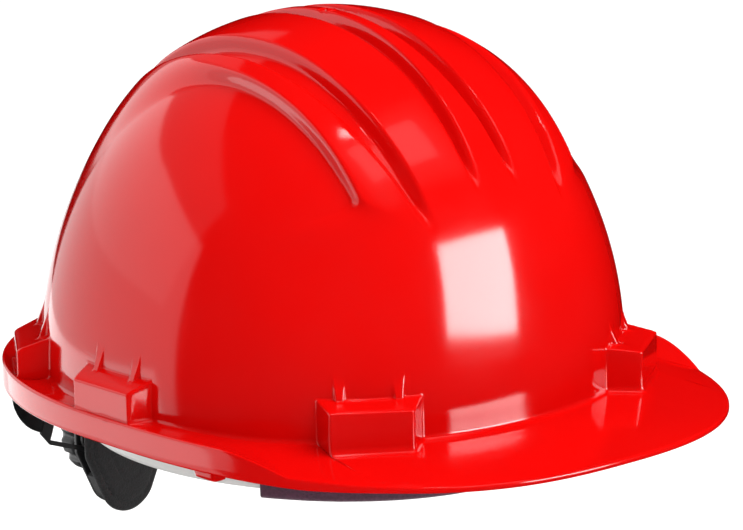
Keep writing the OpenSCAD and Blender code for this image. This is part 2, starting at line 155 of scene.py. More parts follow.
def mesh_object(name, points, faces, smooth_shading=True, uv=None):
    """Object from points in millimetres and faces of any one size, or a list of mixed faces."""
    mesh = bpy.data.meshes.new(name)
    if isinstance(faces, np.ndarray):
        count, size = faces.shape
        mesh.vertices.add(len(points))
        mesh.vertices.foreach_set("co", (np.asarray(points) * MM).astype(np.float32).ravel())
        mesh.loops.add(count * size)
        mesh.loops.foreach_set("vertex_index", faces.astype(np.int32).ravel())
        mesh.polygons.add(count)
        mesh.polygons.foreach_set("loop_start", np.arange(0, count * size, size, dtype=np.int32))
        mesh.update(calc_edges=True)
    else:
        mesh.from_pydata([tuple(float(c) * MM for c in p) for p in points], [], faces)
    if uv is not None:
        layer = mesh.uv_layers.new(name="UVMap")
        loops = np.empty(len(mesh.loops), dtype=np.int32)
        mesh.loops.foreach_get("vertex_index", loops)
        layer.data.foreach_set("uv", np.asarray(uv, dtype=np.float32)[loops].ravel())
    mesh.validate()
    mesh.polygons.foreach_set("use_smooth", [smooth_shading] * len(mesh.polygons))
    return put(name, mesh)


def ring_faces(rows, cols):
    """Quads between rows of points that each close on themselves."""
    i, j = np.meshgrid(np.arange(rows - 1), np.arange(cols), indexing="ij")
    nj = (j + 1) % cols
    quads = np.stack([i * cols + j, i * cols + nj, (i + 1) * cols + nj, (i + 1) * cols + j], axis=-1)
    return quads.reshape(-1, 4)


def face_outwards(obj):
    """Turns the faces round if the closed mesh encloses a negative volume."""
    mesh = obj.data
    points = get_points(mesh)
    mesh.calc_loop_triangles()
    tri = np.empty(len(mesh.loop_triangles) * 3, dtype=np.int32)
    mesh.loop_triangles.foreach_get("vertices", tri)
    a, b, c = (points[tri.reshape(-1, 3)[:, k]] for k in range(3))
    if np.einsum("ij,ij->i", a, np.cross(b, c)).sum() < 0:
        mesh.flip_normals()
    return obj


def tube_of_sections(name, sections, uv=None, smooth_shading=True):
    """Closed solid from a row of equal loops, with fan caps at both ends."""
    sections = np.asarray(sections, dtype=float)
    rows, cols = sections.shape[:2]
    points = sections.reshape(-1, 3)
    faces = [tuple(int(k) for k in q) for q in ring_faces(rows, cols)]
    first, last = len(points), len(points) + 1
    points = np.vstack([points, sections[0].mean(axis=0), sections[-1].mean(axis=0)])
    base = (rows - 1) * cols
    faces += [(first, (j + 1) % cols, j) for j in range(cols)]
    faces += [(last, base + j, base + (j + 1) % cols) for j in range(cols)]
    if uv is not None:
        uv = np.vstack([np.asarray(uv).reshape(-1, 2), [0, 0], [0, 0]])
    obj = mesh_object(name, points, faces, smooth_shading, uv)
    return face_outwards(obj)


def join(name, objects):
    """One object from several, keeping their materials."""
    target = objects[0]
    with bpy.context.temp_override(
        active_object=target, selected_objects=objects, selected_editable_objects=objects
    ):
        bpy.ops.object.join()
    target.name = name
    target.data.name = name
    return target


def extruded(name, loops, thickness, bevel, place, steps=3):
    """Solid of an outline with holes, its edges rounded, then placed by a function of (u, v, w)."""
    curve = bpy.data.curves.new(name, "CURVE")
    curve.dimensions = "2D"
    curve.fill_mode = "BOTH"
    curve.extrude = (thickness / 2 - bevel) * MM
    curve.bevel_depth = bevel * MM
    curve.bevel_resolution = steps
    curve.offset = -bevel * MM
    for loop in loops:
        spline = curve.splines.new("POLY")
        spline.points.add(len(loop) - 1)
        for point, (u, v) in zip(spline.points, loop):
            point.co = (u * MM, v * MM, 0, 1)
        spline.use_cyclic_u = True
    holder = put(name, curve)
    depsgraph = bpy.context.evaluated_depsgraph_get()
    mesh = bpy.data.meshes.new_from_object(holder.evaluated_get(depsgraph))
    bpy.data.objects.remove(holder)
    set_points(mesh, place(get_points(mesh) / MM) * MM)
    obj = put(name, mesh)
    mesh.shade_smooth()
    mesh.set_sharp_from_angle(angle=math.radians(35))
    return face_outwards(obj)


def circle(u, v, r, count=48, turn=1):
    angles = [turn * 2 * math.pi * k / count for k in range(count)]
    return [(u + r * math.cos(a), v + r * math.sin(a)) for a in angles]


def hull_of(points):
    """Convex outline, counter-clockwise."""
    points = sorted(set((round(u, 5), round(v, 5)) for u, v in points))

    def half(run):
        out = []
        for p in run:
            while len(out) > 1 and (
                (out[-1][0] - out[-2][0]) * (p[1] - out[-2][1])
                - (out[-1][1] - out[-2][1]) * (p[0] - out[-2][0])
            ) <= 0:
                out.pop()
            out.append(p)
        return out[:-1]

    return half(points) + half(points[::-1])


def catmull(points, per_span=6):
    """Smooth line through points."""
    p = np.asarray(points, dtype=float)
    p = np.vstack([2 * p[0] - p[1], p, 2 * p[-1] - p[-2]])
    out = []
    for a, b, c, d in zip(p[:-3], p[1:-2], p[2:-1], p[3:]):
        for k in range(per_span):
            t = k / per_span
            out.append(
                0.5 * (2 * b + (c - a) * t + (2 * a - 5 * b + 4 * c - d) * t * t
                       + (3 * b - a - 3 * c + d) * t ** 3)
            )
    return np.array(out + [p[-2]])


def swept_strap(name, path, across, half_w, half_t):
    """Flat strap with rounded edges along a path; across is the width direction at each point."""
    path = np.asarray(path, dtype=float)
    ahead = unit(np.gradient(path, axis=0))
    across = np.asarray(across, dtype=float)
    across = unit(across - ahead * np.sum(across * ahead, axis=1, keepdims=True))
    out = np.cross(across, ahead)
    angles = np.linspace(-math.pi / 2, math.pi / 2, 7)
    r = min(0.5, half_t)
    right = [(half_w - r + r * math.cos(a), (half_t - r) * np.sign(a) + r * math.sin(a)) for a in angles]
    flats = [0.8, 0.6, 0.4, 0.2, 0, -0.2, -0.4, -0.6, -0.8]
    loop = right + [(half_w * f, half_t) for f in flats]
    loop += [(-u, -v) for u, v in right] + [(half_w * -f, -half_t) for f in flats]
    u, v = np.array(loop).T
    sections = path[:, None] + across[:, None] * u[None, :, None] + out[:, None] * v[None, :, None]
    uv = np.stack(np.broadcast_arrays(run_along(path)[:, None] / 10, u[None, :] / 10), axis=-1)
    return tube_of_sections(name, sections, uv)


def stitches(name, spots, ahead, out, length=1.7, r=0.22):
    """Row of short thread arches lying on a surface."""
    pieces, faces, base = [], [], 0
    ring = [(math.cos(a), math.sin(a)) for a in turns(6)]
    for spot, along, up in zip(spots, unit(np.asarray(ahead, float)), unit(np.asarray(out, float))):
        side = np.cross(along, up)
        for k, s in enumerate((-0.5, -0.3, 0, 0.3, 0.5)):
            lift = (0.25 - s * s) * 1.3 * r * 4
            centre = spot + along * s * length + up * (lift - 0.6 * r)
            pieces += [centre + (side * a + up * b) * r for a, b in ring]
        for k in range(4):
            for j in range(6):
                n = (j + 1) % 6
                a, b = base + k * 6, base + (k + 1) * 6
                faces.append((a + j, a + n, b + n, b + j))
        base += 30
    return mesh_object(name, pieces, faces)


# ---------------------------------------------------------------- materials


def noise(tree, vector, scale, detail=3.0, roughness=0.5):
    n = tree.nodes.new("ShaderNodeTexNoise")
    n.inputs["Scale"].default_value = scale
    n.inputs["Detail"].default_value = detail
    n.inputs["Roughness"].default_value = roughness
    tree.links.new(vector, n.inputs["Vector"])
    return n.outputs["Fac"]


def ramp_value(tree, fac, low, high, from_low=0.0, from_high=1.0):
    n = tree.nodes.new("ShaderNodeMapRange")
    n.inputs["From Min"].default_value = from_low
    n.inputs["From Max"].default_value = from_high
    n.inputs["To Min"].default_value = low
    n.inputs["To Max"].default_value = high
    tree.links.new(fac, n.inputs["Value"])
    return n.outputs["Result"]


def mix_colour(tree, fac, a, b):
    """Mix of two colours, each given as a tuple or as another node's output."""
    n = tree.nodes.new("ShaderNodeMix")
    n.data_type = "RGBA"
    for socket, colour in (("A", a), ("B", b)):
        if isinstance(colour, tuple):
            n.inputs[socket].default_value = (*colour, 1)
        else:
            tree.links.new(colour, n.inputs[socket])
    tree.links.new(fac, n.inputs["Factor"])
    return n.outputs["Result"]


def math_node(tree, operation, a, b=None):
    n = tree.nodes.new("ShaderNodeMath")
    n.operation = operation
    for socket, value in zip(n.inputs, (a, b)):
        if value is None:
            continue
        if isinstance(value, (int, float)):
            socket.default_value = value
        else:
            tree.links.new(value, socket)
    return n.outputs[0]


def plus(tree, a, b):
    return math_node(tree, "ADD", a, b)


def times(tree, a, b):
    return math_node(tree, "MULTIPLY", a, b)


def cells(tree, place, scale):
    """Distance to the nearest cell centre, for pebbled skins and loops."""
    n = tree.nodes.new("ShaderNodeTexVoronoi")
    n.inputs["Scale"].default_value = scale
    tree.links.new(place, n.inputs["Vector"])
    return n.outputs["Distance"]


def bump(tree, height, strength, distance):
    n = tree.nodes.new("ShaderNodeBump")
    n.inputs["Strength"].default_value = strength
    n.inputs["Distance"].default_value = distance * MM
    tree.links.new(height, n.inputs["Height"])
    return n.outputs["Normal"]


def new_material(name):
    material = bpy.data.materials.new(name)
    material.use_nodes = True
    tree = material.node_tree
    shader = tree.nodes["Principled BSDF"]
    coords = tree.nodes.new("ShaderNodeTexCoord")
    return material, tree, shader, coords


def moulded_plastic(name, colour, darker, roughness, grain=0.0, wear=0.0):
    """Moulded plastic: slow colour drift, uneven gloss, faint scratches and an optional texture."""
    material, tree, shader, coords = new_material(name)
    place = coords.outputs["Object"]
    shader.inputs["IOR"].default_value = 1.49
    drift = noise(tree, place, 14, 3)
    tone = mix_colour(tree, ramp_value(tree, drift, 0, 1, 0.3, 0.7), darker, colour)
    cloud = noise(tree, place, 45, 4)
    fine = noise(tree, place, 420, 4, 0.6)
    rough = plus(tree, ramp_value(tree, cloud, roughness * 0.85, roughness * 1.2, 0.3, 0.7),
                 ramp_value(tree, fine, -0.012, 0.012))
    tree.links.new(rough, shader.inputs["Roughness"])
    if wear:
        edges = tree.nodes.new("ShaderNodeNewGeometry").outputs["Pointiness"]
        worn = times(tree, ramp_value(tree, edges, 0, wear, 0.52, 0.6), fine)
        tone = mix_colour(tree, worn, tone, tuple(min(1, c * 1.6 + 0.06) for c in colour))
    tree.links.new(tone, shader.inputs["Base Color"])
    stretch = tree.nodes.new("ShaderNodeMapping")
    stretch.inputs["Scale"].default_value = (1.0, 0.12, 0.6)
    tree.links.new(place, stretch.inputs["Vector"])
    scratch = ramp_value(tree, noise(tree, stretch.outputs["Vector"], 260, 2), 0, 1, 0.66, 0.72)
    height = times(tree, scratch, -0.12)
    if grain:
        height = plus(tree, height, times(tree, cells(tree, place, 900), grain))
    height = plus(tree, height, times(tree, noise(tree, place, 38, 2), 0.9))
    tree.links.new(bump(tree, height, 0.35, 0.12), shader.inputs["Normal"])
    return material


def woven(name, colour, shade, rib=11.0, pick=9.0):
    """Webbing: warp ribs along the strap crossed by picks, read from UVs in centimetres."""
    material, tree, shader, coords = new_material(name)
    split = tree.nodes.new("ShaderNodeSeparateXYZ")
    tree.links.new(coords.outputs["UV"], split.inputs["Vector"])
    along = times(tree, split.outputs["X"], 2 * math.pi * pick)
    across = times(tree, split.outputs["Y"], 2 * math.pi * rib)
    half = times(tree, across, 0.5)
    shift = times(tree, math_node(tree, "SIGN", math_node(tree, "SINE", half)), math.pi / 2)
    picks = math_node(tree, "SINE", plus(tree, along, shift))
    ribs = math_node(tree, "ABSOLUTE", math_node(tree, "SINE", half))
    weave = times(tree, ribs, ramp_value(tree, picks, 0.35, 1, -1, 1))
    fuzz = noise(tree, coords.outputs["Object"], 1400, 3)
    tone = plus(tree, times(tree, weave, 0.8), times(tree, fuzz, 0.2))
    tree.links.new(mix_colour(tree, tone, shade, colour), shader.inputs["Base Color"])
    tree.links.new(ramp_value(tree, fuzz, 0.72, 0.92), shader.inputs["Roughness"])
    shader.inputs["Sheen Weight"].default_value = 0.25
    shader.inputs["Sheen Roughness"].default_value = 0.4
    height = plus(tree, weave, times(tree, fuzz, 0.15))
    tree.links.new(bump(tree, height, 0.8, 0.25), shader.inputs["Normal"])
    return material


def knit(name, colour, shade, scale=950, sheen=0.35):
    """Brushed cloth or foam skin: fine loops, soft creases and a little lint."""
    material, tree, shader, coords = new_material(name)
    place = coords.outputs["Object"]
    loops = cells(tree, place, scale)
    creases = noise(tree, place, 60, 4)
    lint = noise(tree, place, 700, 3)
    tone = plus(tree, times(tree, loops, 0.6), times(tree, creases, 0.4))
    tone = mix_colour(tree, ramp_value(tree, tone, 0, 1, 0.1, 0.7), shade, colour)
    tree.links.new(tone, shader.inputs["Base Color"])
    tree.links.new(ramp_value(tree, lint, 0.75, 0.93), shader.inputs["Roughness"])
    shader.inputs["Sheen Weight"].default_value = sheen
    shader.inputs["Sheen Roughness"].default_value = 0.5
    height = plus(tree, times(tree, loops, 0.7), times(tree, creases, 1.2))
    tree.links.new(bump(tree, height, 0.7, 0.3), shader.inputs["Normal"])
    return material


def turned_metal(name, colour):
    """Plated metal with smudges and fine turning marks."""
    material, tree, shader, coords = new_material(name)
    shader.inputs["Metallic"].default_value = 1.0
    place = coords.outputs["Object"]
    smudge = noise(tree, place, 300, 4)
    shade = tuple(c * 0.75 for c in colour)
    tree.links.new(mix_colour(tree, smudge, shade, colour), shader.inputs["Base Color"])
    tree.links.new(ramp_value(tree, smudge, 0.21, 0.42), shader.inputs["Roughness"])
    tree.links.new(bump(tree, noise(tree, place, 2600, 2), 0.3, 0.05), shader.inputs["Normal"])
    return material


def soften(material):
    """Lets a little light spread under the surface of the shell's thin plastic."""
    shader = material.node_tree.nodes["Principled BSDF"]
    shader.inputs["Subsurface Weight"].default_value = 0.06
    shader.inputs["Subsurface Radius"].default_value = (1.0, 0.15, 0.1)
    shader.inputs["Subsurface Scale"].default_value = 0.002


SHELL_RED = moulded_plastic("gloss_red_plastic", (0.50, 0.0014, 0.0010), (0.47, 0.0012, 0.0010), 0.10)
soften(SHELL_RED)
GREY_PLASTIC = moulded_plastic("grey_plastic", (0.60, 0.60, 0.58), (0.53, 0.53, 0.52), 0.38, grain=0.5)
BLACK_PLASTIC = moulded_plastic("black_plastic", (0.017, 0.017, 0.018), (0.011, 0.011, 0.012), 0.42,
                                grain=1.0, wear=0.5)
ACETAL = moulded_plastic("white_acetal", (0.72, 0.71, 0.67), (0.66, 0.65, 0.61), 0.32)
WEBBING = woven("grey_webbing", (0.42, 0.42, 0.42), (0.14, 0.14, 0.145))
THREAD = woven("white_thread", (0.78, 0.78, 0.76), (0.5, 0.5, 0.5), rib=30, pick=30)
SWEATBAND = knit("plum_sweatband", (0.075, 0.016, 0.045), (0.03, 0.006, 0.018))
BACKING = knit("plum_backing", (0.055, 0.012, 0.032), (0.022, 0.004, 0.012), scale=1500)
NAPE_FOAM = knit("black_foam", (0.022, 0.022, 0.023), (0.009, 0.009, 0.01), scale=1300, sheen=0.15)
STEEL = turned_metal("zinc_steel", (0.62, 0.62, 0.64))


def dress(obj, material):
    obj.data.materials.clear()
    obj.data.materials.append(material)
    return obj


def dress_node(name, material):
    dress(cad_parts[name], material)


# ---------------------------------------------------------------- shell


def foot(t, grow):
    """Plan of the crown's foot at plan angles t, on a surface grown outwards."""
    return np.stack([(CROWN_W + grow) * spow(np.cos(t), 2 / PLAN_N),
                     (CROWN_L + grow) * spow(np.sin(t), 2 / PLAN_N)], axis=-1)


def wall_points(t, z, grow):
    """Points of the crown at plan angles t and heights z, on a surface grown outwards."""
    top = CROWN_H + grow
    part = np.clip((z - CROWN_BASE) / (top - CROWN_BASE), 0, 1)
    rho = (1 - part ** CROWN_Q) ** (1 / CROWN_P)
    plan = foot(t, grow) * rho[..., None]
    return np.stack([plan[..., 0], plan[..., 1] - LEAN * part, z + 0 * t], axis=-1)


def rim_edge(t):
    """Outer edge of the rim in plan."""
    rear = np.sin(t) >= 0
    reach = np.where(rear, RIM_REAR - RIM_MID_Y, PEAK_REACH + RIM_MID_Y)
    n = np.where(rear, REAR_N, PEAK_N)
    return np.stack([RIM_W * spow(np.cos(t), 2 / n), reach * spow(np.sin(t), 2 / n) + RIM_MID_Y], axis=-1)


def pocket_frames():
    """Place and outward and sideways directions of each pocket, with its sizes."""
    out = {}
    for row, (angle, depth, cavity, slope) in POCKETS.items():
        for name, side in SIDES.items():
            az = math.radians(angle * -side)
            r = ((abs(math.sin(az)) / CROWN_W) ** PLAN_N
                 + (abs(math.cos(az)) / CROWN_L) ** PLAN_N) ** (-1 / PLAN_N)
            x, y = -r * math.sin(az), -r * math.cos(az)
            nx = np.sign(x) * (abs(x) / CROWN_W) ** (PLAN_N - 1) / CROWN_W
            ny = np.sign(y) * (abs(y) / CROWN_L) ** (PLAN_N - 1) / CROWN_L
            outward = unit(np.array([nx, ny]))
            sideways = np.array([-outward[1], outward[0]])
            out[row, name] = (np.array([x, y]), outward, sideways, depth, cavity, slope)
    return out


FRAMES = pocket_frames()


def rib_height(p):
    """How far the ribs stand out at points of the crown."""
    a, y, z = np.abs(p[..., 0]), p[..., 1], p[..., 2]
    front = smooth(-y / 40 + 0.5)
    # Heights where the inner and the outer pair of valleys run out, and how far down each point is
    end1, end2 = mix(97, 91, front), mix(92, 81, front)
    k1 = np.clip((137 - z) / (137 - end1), 0, 1)
    k2 = np.clip((124 - z) / (124 - end2), 0, 1)
    valley1 = smooth((a - mix(3.2, 8.0, k1)) / 2.6 + 0.5) * smooth((mix(9.8, 9.4, k1) - a) / 2.6 + 0.5)
    valley1 = valley1 * smooth((z - end1) / 14 + 0.25)
    valley2 = smooth((a - mix(33.6, 30.2, k2)) / 4.0 + 0.5)
    valley2 = valley2 * smooth((mix(41.2, 31.6, k2 ** 1.3) - a) / 3.2 + 0.5)
    valley2 = valley2 * smooth((z - end2) / 13 + 0.25)
    # The outer flanks are steep at the top and spread out towards the rim and the rear
    spread = np.maximum(smooth((91 - z) / 12) * front, np.clip((y + 15) / 75, 0, 1) ** 2)
    outside = smooth((mix(49.4, 55, spread) - a) / mix(3.2, 48, spread) + 0.5)
    rise = smooth((z - mix(48, 34, front)) / mix(72, 80, front))
    return RIB_H * rise * outside * (1 - valley1) * (1 - valley2)


def add_pockets(points, inside):
    """Pushes crown points out over the key pockets and their fins, or into the cavities."""
    z = points[..., 2]
    for place, outward, sideways, depth, cavity, slope in FRAMES.values():
        rel = points[..., :2] - place
        lx, ly = rel @ outward, np.abs(rel @ sideways)
        near = (ly < 26) & (lx > -30) & (z < 40)
        if inside:
            target = smin(cavity, smin((KEY_HALF_W + 1 - ly) * 6, (17.6 - z) * 6, 1.0), 0.8)
            blend = 0.6
        else:
            box = smin(depth, smin((POCKET_HALF_W - ly) * 3.4, (POCKET_ROOT_TOP - z) * slope, 2.5), 2.2)
            fin = smin((FIN_TOP - z) * 0.4, (1.7 - np.abs(ly - FIN_GAP)) * 4, 0.9)
            target = smax(box, fin, 0.8)
            blend = 1.0
        push = np.where(near, smax(lx, target, blend) - lx, 0)
        points[..., :2] += push[..., None] * outward
    return points


def shell_columns():
    """Plan angles, closer together over pocket walls, fins and cavities."""
    fine = np.linspace(0, 2 * math.pi, 40001)
    spots = foot(fine, 0)
    step = np.linalg.norm(np.diff(spots, axis=0), axis=1)
    mid = (spots[1:] + spots[:-1]) / 2
    spacing = np.full(len(mid), 0.95)
    for place, outward, sideways, *_ in FRAMES.values():
        rel = mid - place
        ly = np.abs(rel @ sideways)
        here = rel @ outward > -30
        for low, high, size in ((12.2, 13.9, 0.34), (14.2, 19.2, 0.3), (FIN_GAP - 1.7, FIN_GAP + 1.7, 0.3)):
            spacing = np.where(here & (ly > low) & (ly < high), size, spacing)
    total = np.concatenate([[0], np.cumsum(step / spacing)])
    count = int(total[-1])
    return np.interp(np.linspace(0, total[-1], count, endpoint=False), total, fine)


def outer_crown(t, root_z):
    """Rows from the top of the crown down to the start of the root fillet."""
    phi = np.radians(np.linspace(89.55, 11, 205))
    upper = CROWN_BASE + (CROWN_H - CROWN_BASE) * np.sin(phi)
    middle = np.linspace(upper[-1], CROWN_BASE, 54)[1:]
    z = [np.full_like(t, v) for v in np.concatenate([upper, middle])]
    z += [mix(CROWN_BASE, root_z + ROOT_FILLET, k) for k in (0.25, 0.5, 0.75, 1.0)]
    z = np.array(z)
    base = wall_points(np.broadcast_to(t, z.shape), z, 0)
    down = np.gradient(base, axis=0)
    around = np.roll(base, -1, axis=1) - np.roll(base, 1, axis=1)
    normal = unit(np.cross(around, down))
    normal *= np.sign(np.sum(normal[..., :2] * base[..., :2], axis=-1, keepdims=True) + 1e-9)
    crown = base + normal * rib_height(base)[..., None]
    return add_pockets(crown, inside=False)


def inner_crown(t, under_z):
    """Rows from the foot of the inner wall up to the top, dense at the pocket cavities' ceilings."""
    ceiling_low, ceiling_high = 17, 19
    z = [mix(under_z, ceiling_low, k) for k in np.linspace(0, 1, 12)]
    z += [np.full_like(t, v) for v in np.linspace(ceiling_low, ceiling_high, 7)[1:]]
    top = CROWN_H - WALL
    start = math.asin((ceiling_high - CROWN_BASE) / (top - CROWN_BASE))
    phi = np.linspace(start, math.radians(89.4), 62)[1:]
    z += [np.full_like(t, v) for v in CROWN_BASE + (top - CROWN_BASE) * np.sin(phi)]
    z = np.array(z)
    return add_pockets(wall_points(np.broadcast_to(t, z.shape), z, -WALL), inside=True)


def ring(plan, z):
    """One row of points from its plan and its height."""
    return np.concatenate([plan, np.broadcast_to(z, plan.shape[:1])[:, None]], axis=1)[None]


def ledge_rows(root, edge, away, root_z, ledge_z):
    """Fillet at the foot of the crown, then the ledge or peak out to the rim's lip."""
    turn = np.minimum(ROOT_FILLET, np.linalg.norm(edge - root, axis=1) * 0.25)
    start = root + away * turn[:, None]
    start_z = ledge_z(start)
    rows = []
    for k in range(1, 7):
        a = math.pi / 2 * k / 6
        plan = root + away * (turn * (1 - math.cos(a)))[:, None]
        rows.append(ring(plan, mix(root_z + ROOT_FILLET, start_z, math.sin(a))))
    for s in np.linspace(0, 1, 26)[1:-1]:
        plan = mix(start, edge - away * LIP, s)
        rows.append(ring(plan, ledge_z(plan)))
    return rows


def rim_rows(edge, away, top_z, side_low):
    """Rounded lip, outer side and rounded lower edge of the rim."""
    finish = edge - away * LIP
    inner = edge - away * WALL
    rows = []
    for k in range(7):
        a = math.pi / 2 * k / 6
        rows.append(ring(finish + away * LIP * math.sin(a), top_z - LIP * (1 - math.cos(a))))
    for s in (0.25, 0.5, 0.75):
        rows.append(ring(edge, mix(top_z - LIP, side_low, s)))
    for k in range(9):
        a = math.pi * k / 8
        rows.append(ring(mix(edge, inner, (1 - math.cos(a)) / 2), side_low - RIM_ROUND * math.sin(a)))
    return rows


def under_rows(inner, heel, side_low, under_edge, under_z):
    """Inner side of the rim and the underside of the ledge, in to the foot of the inner wall."""
    rows = [ring(inner, mix(side_low, under_edge, s)) for s in (0.3, 0.6, 0.85)]
    for s in np.linspace(0.02, 1, 14)[:-1]:
        rows.append(ring(mix(inner, heel, s), mix(under_edge, under_z, smooth(s * 1.2))))
    return rows


def closed_rings(name, points):
    """Closed mesh from rings of points, with a fan over the first ring and over the last."""
    count, cols = points.shape[:2]
    tops = np.array([points[0].mean(axis=0), points[-1].mean(axis=0)])
    tops[:, 2] += 0.01
    flat = np.vstack([points.reshape(-1, 3), tops])
    first, last = len(flat) - 2, len(flat) - 1
    base = (count - 1) * cols
    fans = []
    for j in range(cols):
        fans.append((j, (j + 1) % cols, first))
    for j in range(cols):
        fans.append((base + (j + 1) % cols, base + j, last))
    body = mesh_object(name, flat, ring_faces(count, cols))
    closing = mesh_object("shell_caps", flat, fans)
    shell = join(name, [body, closing])
    weld(shell)
    return face_outwards(shell)


def make_shell():
    """Crown, ledge, peak, rim and inner wall in one surface, from the top outwards and back inside."""
    t = shell_columns()
    edge = rim_edge(t)
    front = smooth((-edge[:, 1] - 40) / 70)
    fall = np.clip((RIDGE_START - edge[:, 1]) / (RIDGE_START - RIDGE_END), 0, 1) ** 1.6
    root_z = mix(LEDGE_Z, PEAK_ROOT_Z, front)
    top_z = mix(SKIRT_Z, PEAK_EDGE_Z, fall)
    low_z = PEAK_UNDER_Z * smooth((-edge[:, 1] + RIDGE_END) / 40)
    side_low = low_z + RIM_ROUND
    under_z = root_z - WALL
    under_edge = np.maximum(np.minimum(root_z, top_z) - WALL, low_z + 1.0)
    away = unit(edge - foot(t, 0))
    gutter = 0.9 * (1 - front)
    wall_foot = wall_points(t, root_z + ROOT_FILLET, 0)[:, :2]
    depth = np.linalg.norm(edge - wall_foot, axis=1)

    def ledge_z(plan):
        s = np.clip(np.sum((plan - wall_foot) * away, axis=1) / depth, 0, 1)
        return mix(root_z, top_z, mix(s, s ** 1.3, front)) - gutter * np.sin(math.pi * s ** 1.3)

    crown = outer_crown(t, root_z)
    inside = inner_crown(t, under_z)
    rows = [crown] + ledge_rows(crown[-1, :, :2], edge, away, root_z, ledge_z)
    rows += rim_rows(edge, away, top_z, side_low)
    rows += under_rows(edge - away * WALL, inside[0, :, :2], side_low, under_edge, under_z)
    return closed_rings("shell_moulding", np.concatenate(rows + [inside], axis=0))


def weld(obj):
    """Joins points that lie on each other and turns all faces the same way."""
    bm = bmesh.new()
    bm.from_mesh(obj.data)
    bmesh.ops.remove_doubles(bm, verts=bm.verts, dist=0.002 * MM)
    bmesh.ops.recalc_face_normals(bm, faces=bm.faces)
    loose = [v for v in bm.verts if not v.link_faces]
    bmesh.ops.delete(bm, geom=loose, context="VERTS")
    bm.to_mesh(obj.data)
    bm.free()


def make_chin_lug(side):
    """Lug under the rim with a rounded nose."""
    angles = turns(40)
    rows = []
    for z, half_x, half_y in ((8, 4, 7), (2, 4, 7), (0, 3.7, 6.7), (-3, 3.2, 6.2), (-4.1, 2.9, 5.8),
                              (-4.5, 2.2, 5)):
        x = side * 101 + half_x * spow(np.cos(angles), 0.35)
        y = -53 + half_y * spow(np.sin(angles), 0.35)
        rows.append(np.stack([x, y, np.full_like(x, z)], axis=-1))
    return tube_of_sections("chin_lug", rows)


def make_gate_mark():
    """Small trimmed stub left by the mould's gate on the top of the shell."""
    angles = turns(32)
    rows = []
    for r, z in ((2.2, -0.6), (2.1, 0.05), (1.8, 0.25), (1.1, 0.3), (0.9, 0.1), (0.5, 0.05)):
        rows.append(np.stack([r * np.cos(angles), r * np.sin(angles) - LEAN - 1,
                              np.full_like(angles, z + CROWN_H + RIB_H)], axis=-1))
    return tube_of_sections("gate_mark", rows)


def build_shell():
    """Shell moulding with its chin lugs and gate mark."""
    parts = [make_shell(), make_gate_mark()] + [make_chin_lug(side) for side in SIDES.values()]
    for part in parts:
        dress(part, SHELL_RED)
    shell = join("shell_moulding", parts)
    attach(shell, ROOT)
    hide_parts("shell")


# ---------------------------------------------------------------- suspension


def pocket_point(key, lx, ly, z):
    """Point near a pocket: lx outwards from its place, ly sideways, at a height."""
    place, outward, sideways, *_ = FRAMES[key]
    plan = place + outward * lx + sideways * ly
    return np.array([plan[0], plan[1], z])


def level(direction):
    """Plan direction as a level direction in space."""
    return np.array([direction[0], direction[1], 0])


class Thread:
    """Stitches gathered one by one: place, direction of the thread, and side it lies on."""

    def __init__(self):
        self.spots, self.ahead, self.out = [], [], []

    def add(self, spot, ahead, out):
        self.spots.append(spot)
        self.ahead.append(ahead)
        self.out.append(out)

    def mesh(self, name, **sizes):
        return stitches(name, self.spots, self.ahead, self.out, **sizes)


def web_run(a, b, lift):
    """Middle line of a strap between two keys, and its width directions."""
    start, finish = (pocket_point(k, -7.7, 0, 0)[:2] for k in (a, b))
    middle = np.array([0, 2 * WEB_MID_Y]) - (start + finish) / 2
    points, across = [], []
    for u in 0.5 - 0.5 * np.cos(np.linspace(0, math.pi, 90)):
        f = abs(2 * u - 1)
        z = WEB_ROOT_Z + (WEB_TOP - WEB_ROOT_Z) * (1 - f ** 2.3) ** 0.55
        if z < 33:
            continue
        plan = start * (1 - u) ** 2 + middle * 2 * u * (1 - u) + finish * u * u
        q = 2 * (middle - start) * (1 - u) + 2 * (finish - middle) * u
        q = unit(q)
        points.append([plan[0], plan[1], z + (lift + WEB_T / 2) * float(smooth(2.6 - 4 * f))])
        across.append([-q[1], q[0], 0])
    return np.array(points), np.array(across)


def webbing_widths(path, middle, across, keys):
    """Width direction at each point of a strap, turning to its keys' slots at the ends."""
    sideways = []
    for key, reference in zip(keys, (across[0], across[-1])):
        side = level(FRAMES[key][2])
        sideways.append(side if side @ reference > 0 else -side)
    width = []
    for p in path:
        nearest = int(np.argmin(np.linalg.norm(middle - p, axis=1)))
        end = sideways[0] if nearest < len(middle) / 2 else sideways[1]
        width.append(unit(mix(across[nearest], end, float(smooth((60 - p[2]) / 34)))))
    return width


def build_webbing(name, a, b, lift, node_name):
    """Strap over the head whose ends pass through the slots of two keys."""
    middle, across = web_run(a, b, lift)
    ends = [[pocket_point(key, lx, 0, z) for lx, z in WEB_THREADING] for key in (a, b)]
    path = catmull(ends[0][::-1] + list(middle[::3]) + ends[1], 5)
    width = webbing_widths(path, middle, across, (a, b))
    strap = dress(swept_strap(name, path, width, WEB_W / 2, WEB_T / 2), WEBBING)

    thread = Thread()
    for key in (a, b):
        outward, side = FRAMES[key][1:3]
        for z in (10.6, 12.4):
            for ly in np.arange(-7.6, 7.7, 1.9):
                thread.add(pocket_point(key, -8.45, ly, z), level(side), -level(outward))
    sewn = dress(thread.mesh(name + "_thread"), THREAD)
    piece = join(name, [strap, sewn])
    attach(piece, ROOT)
    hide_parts(node_name)


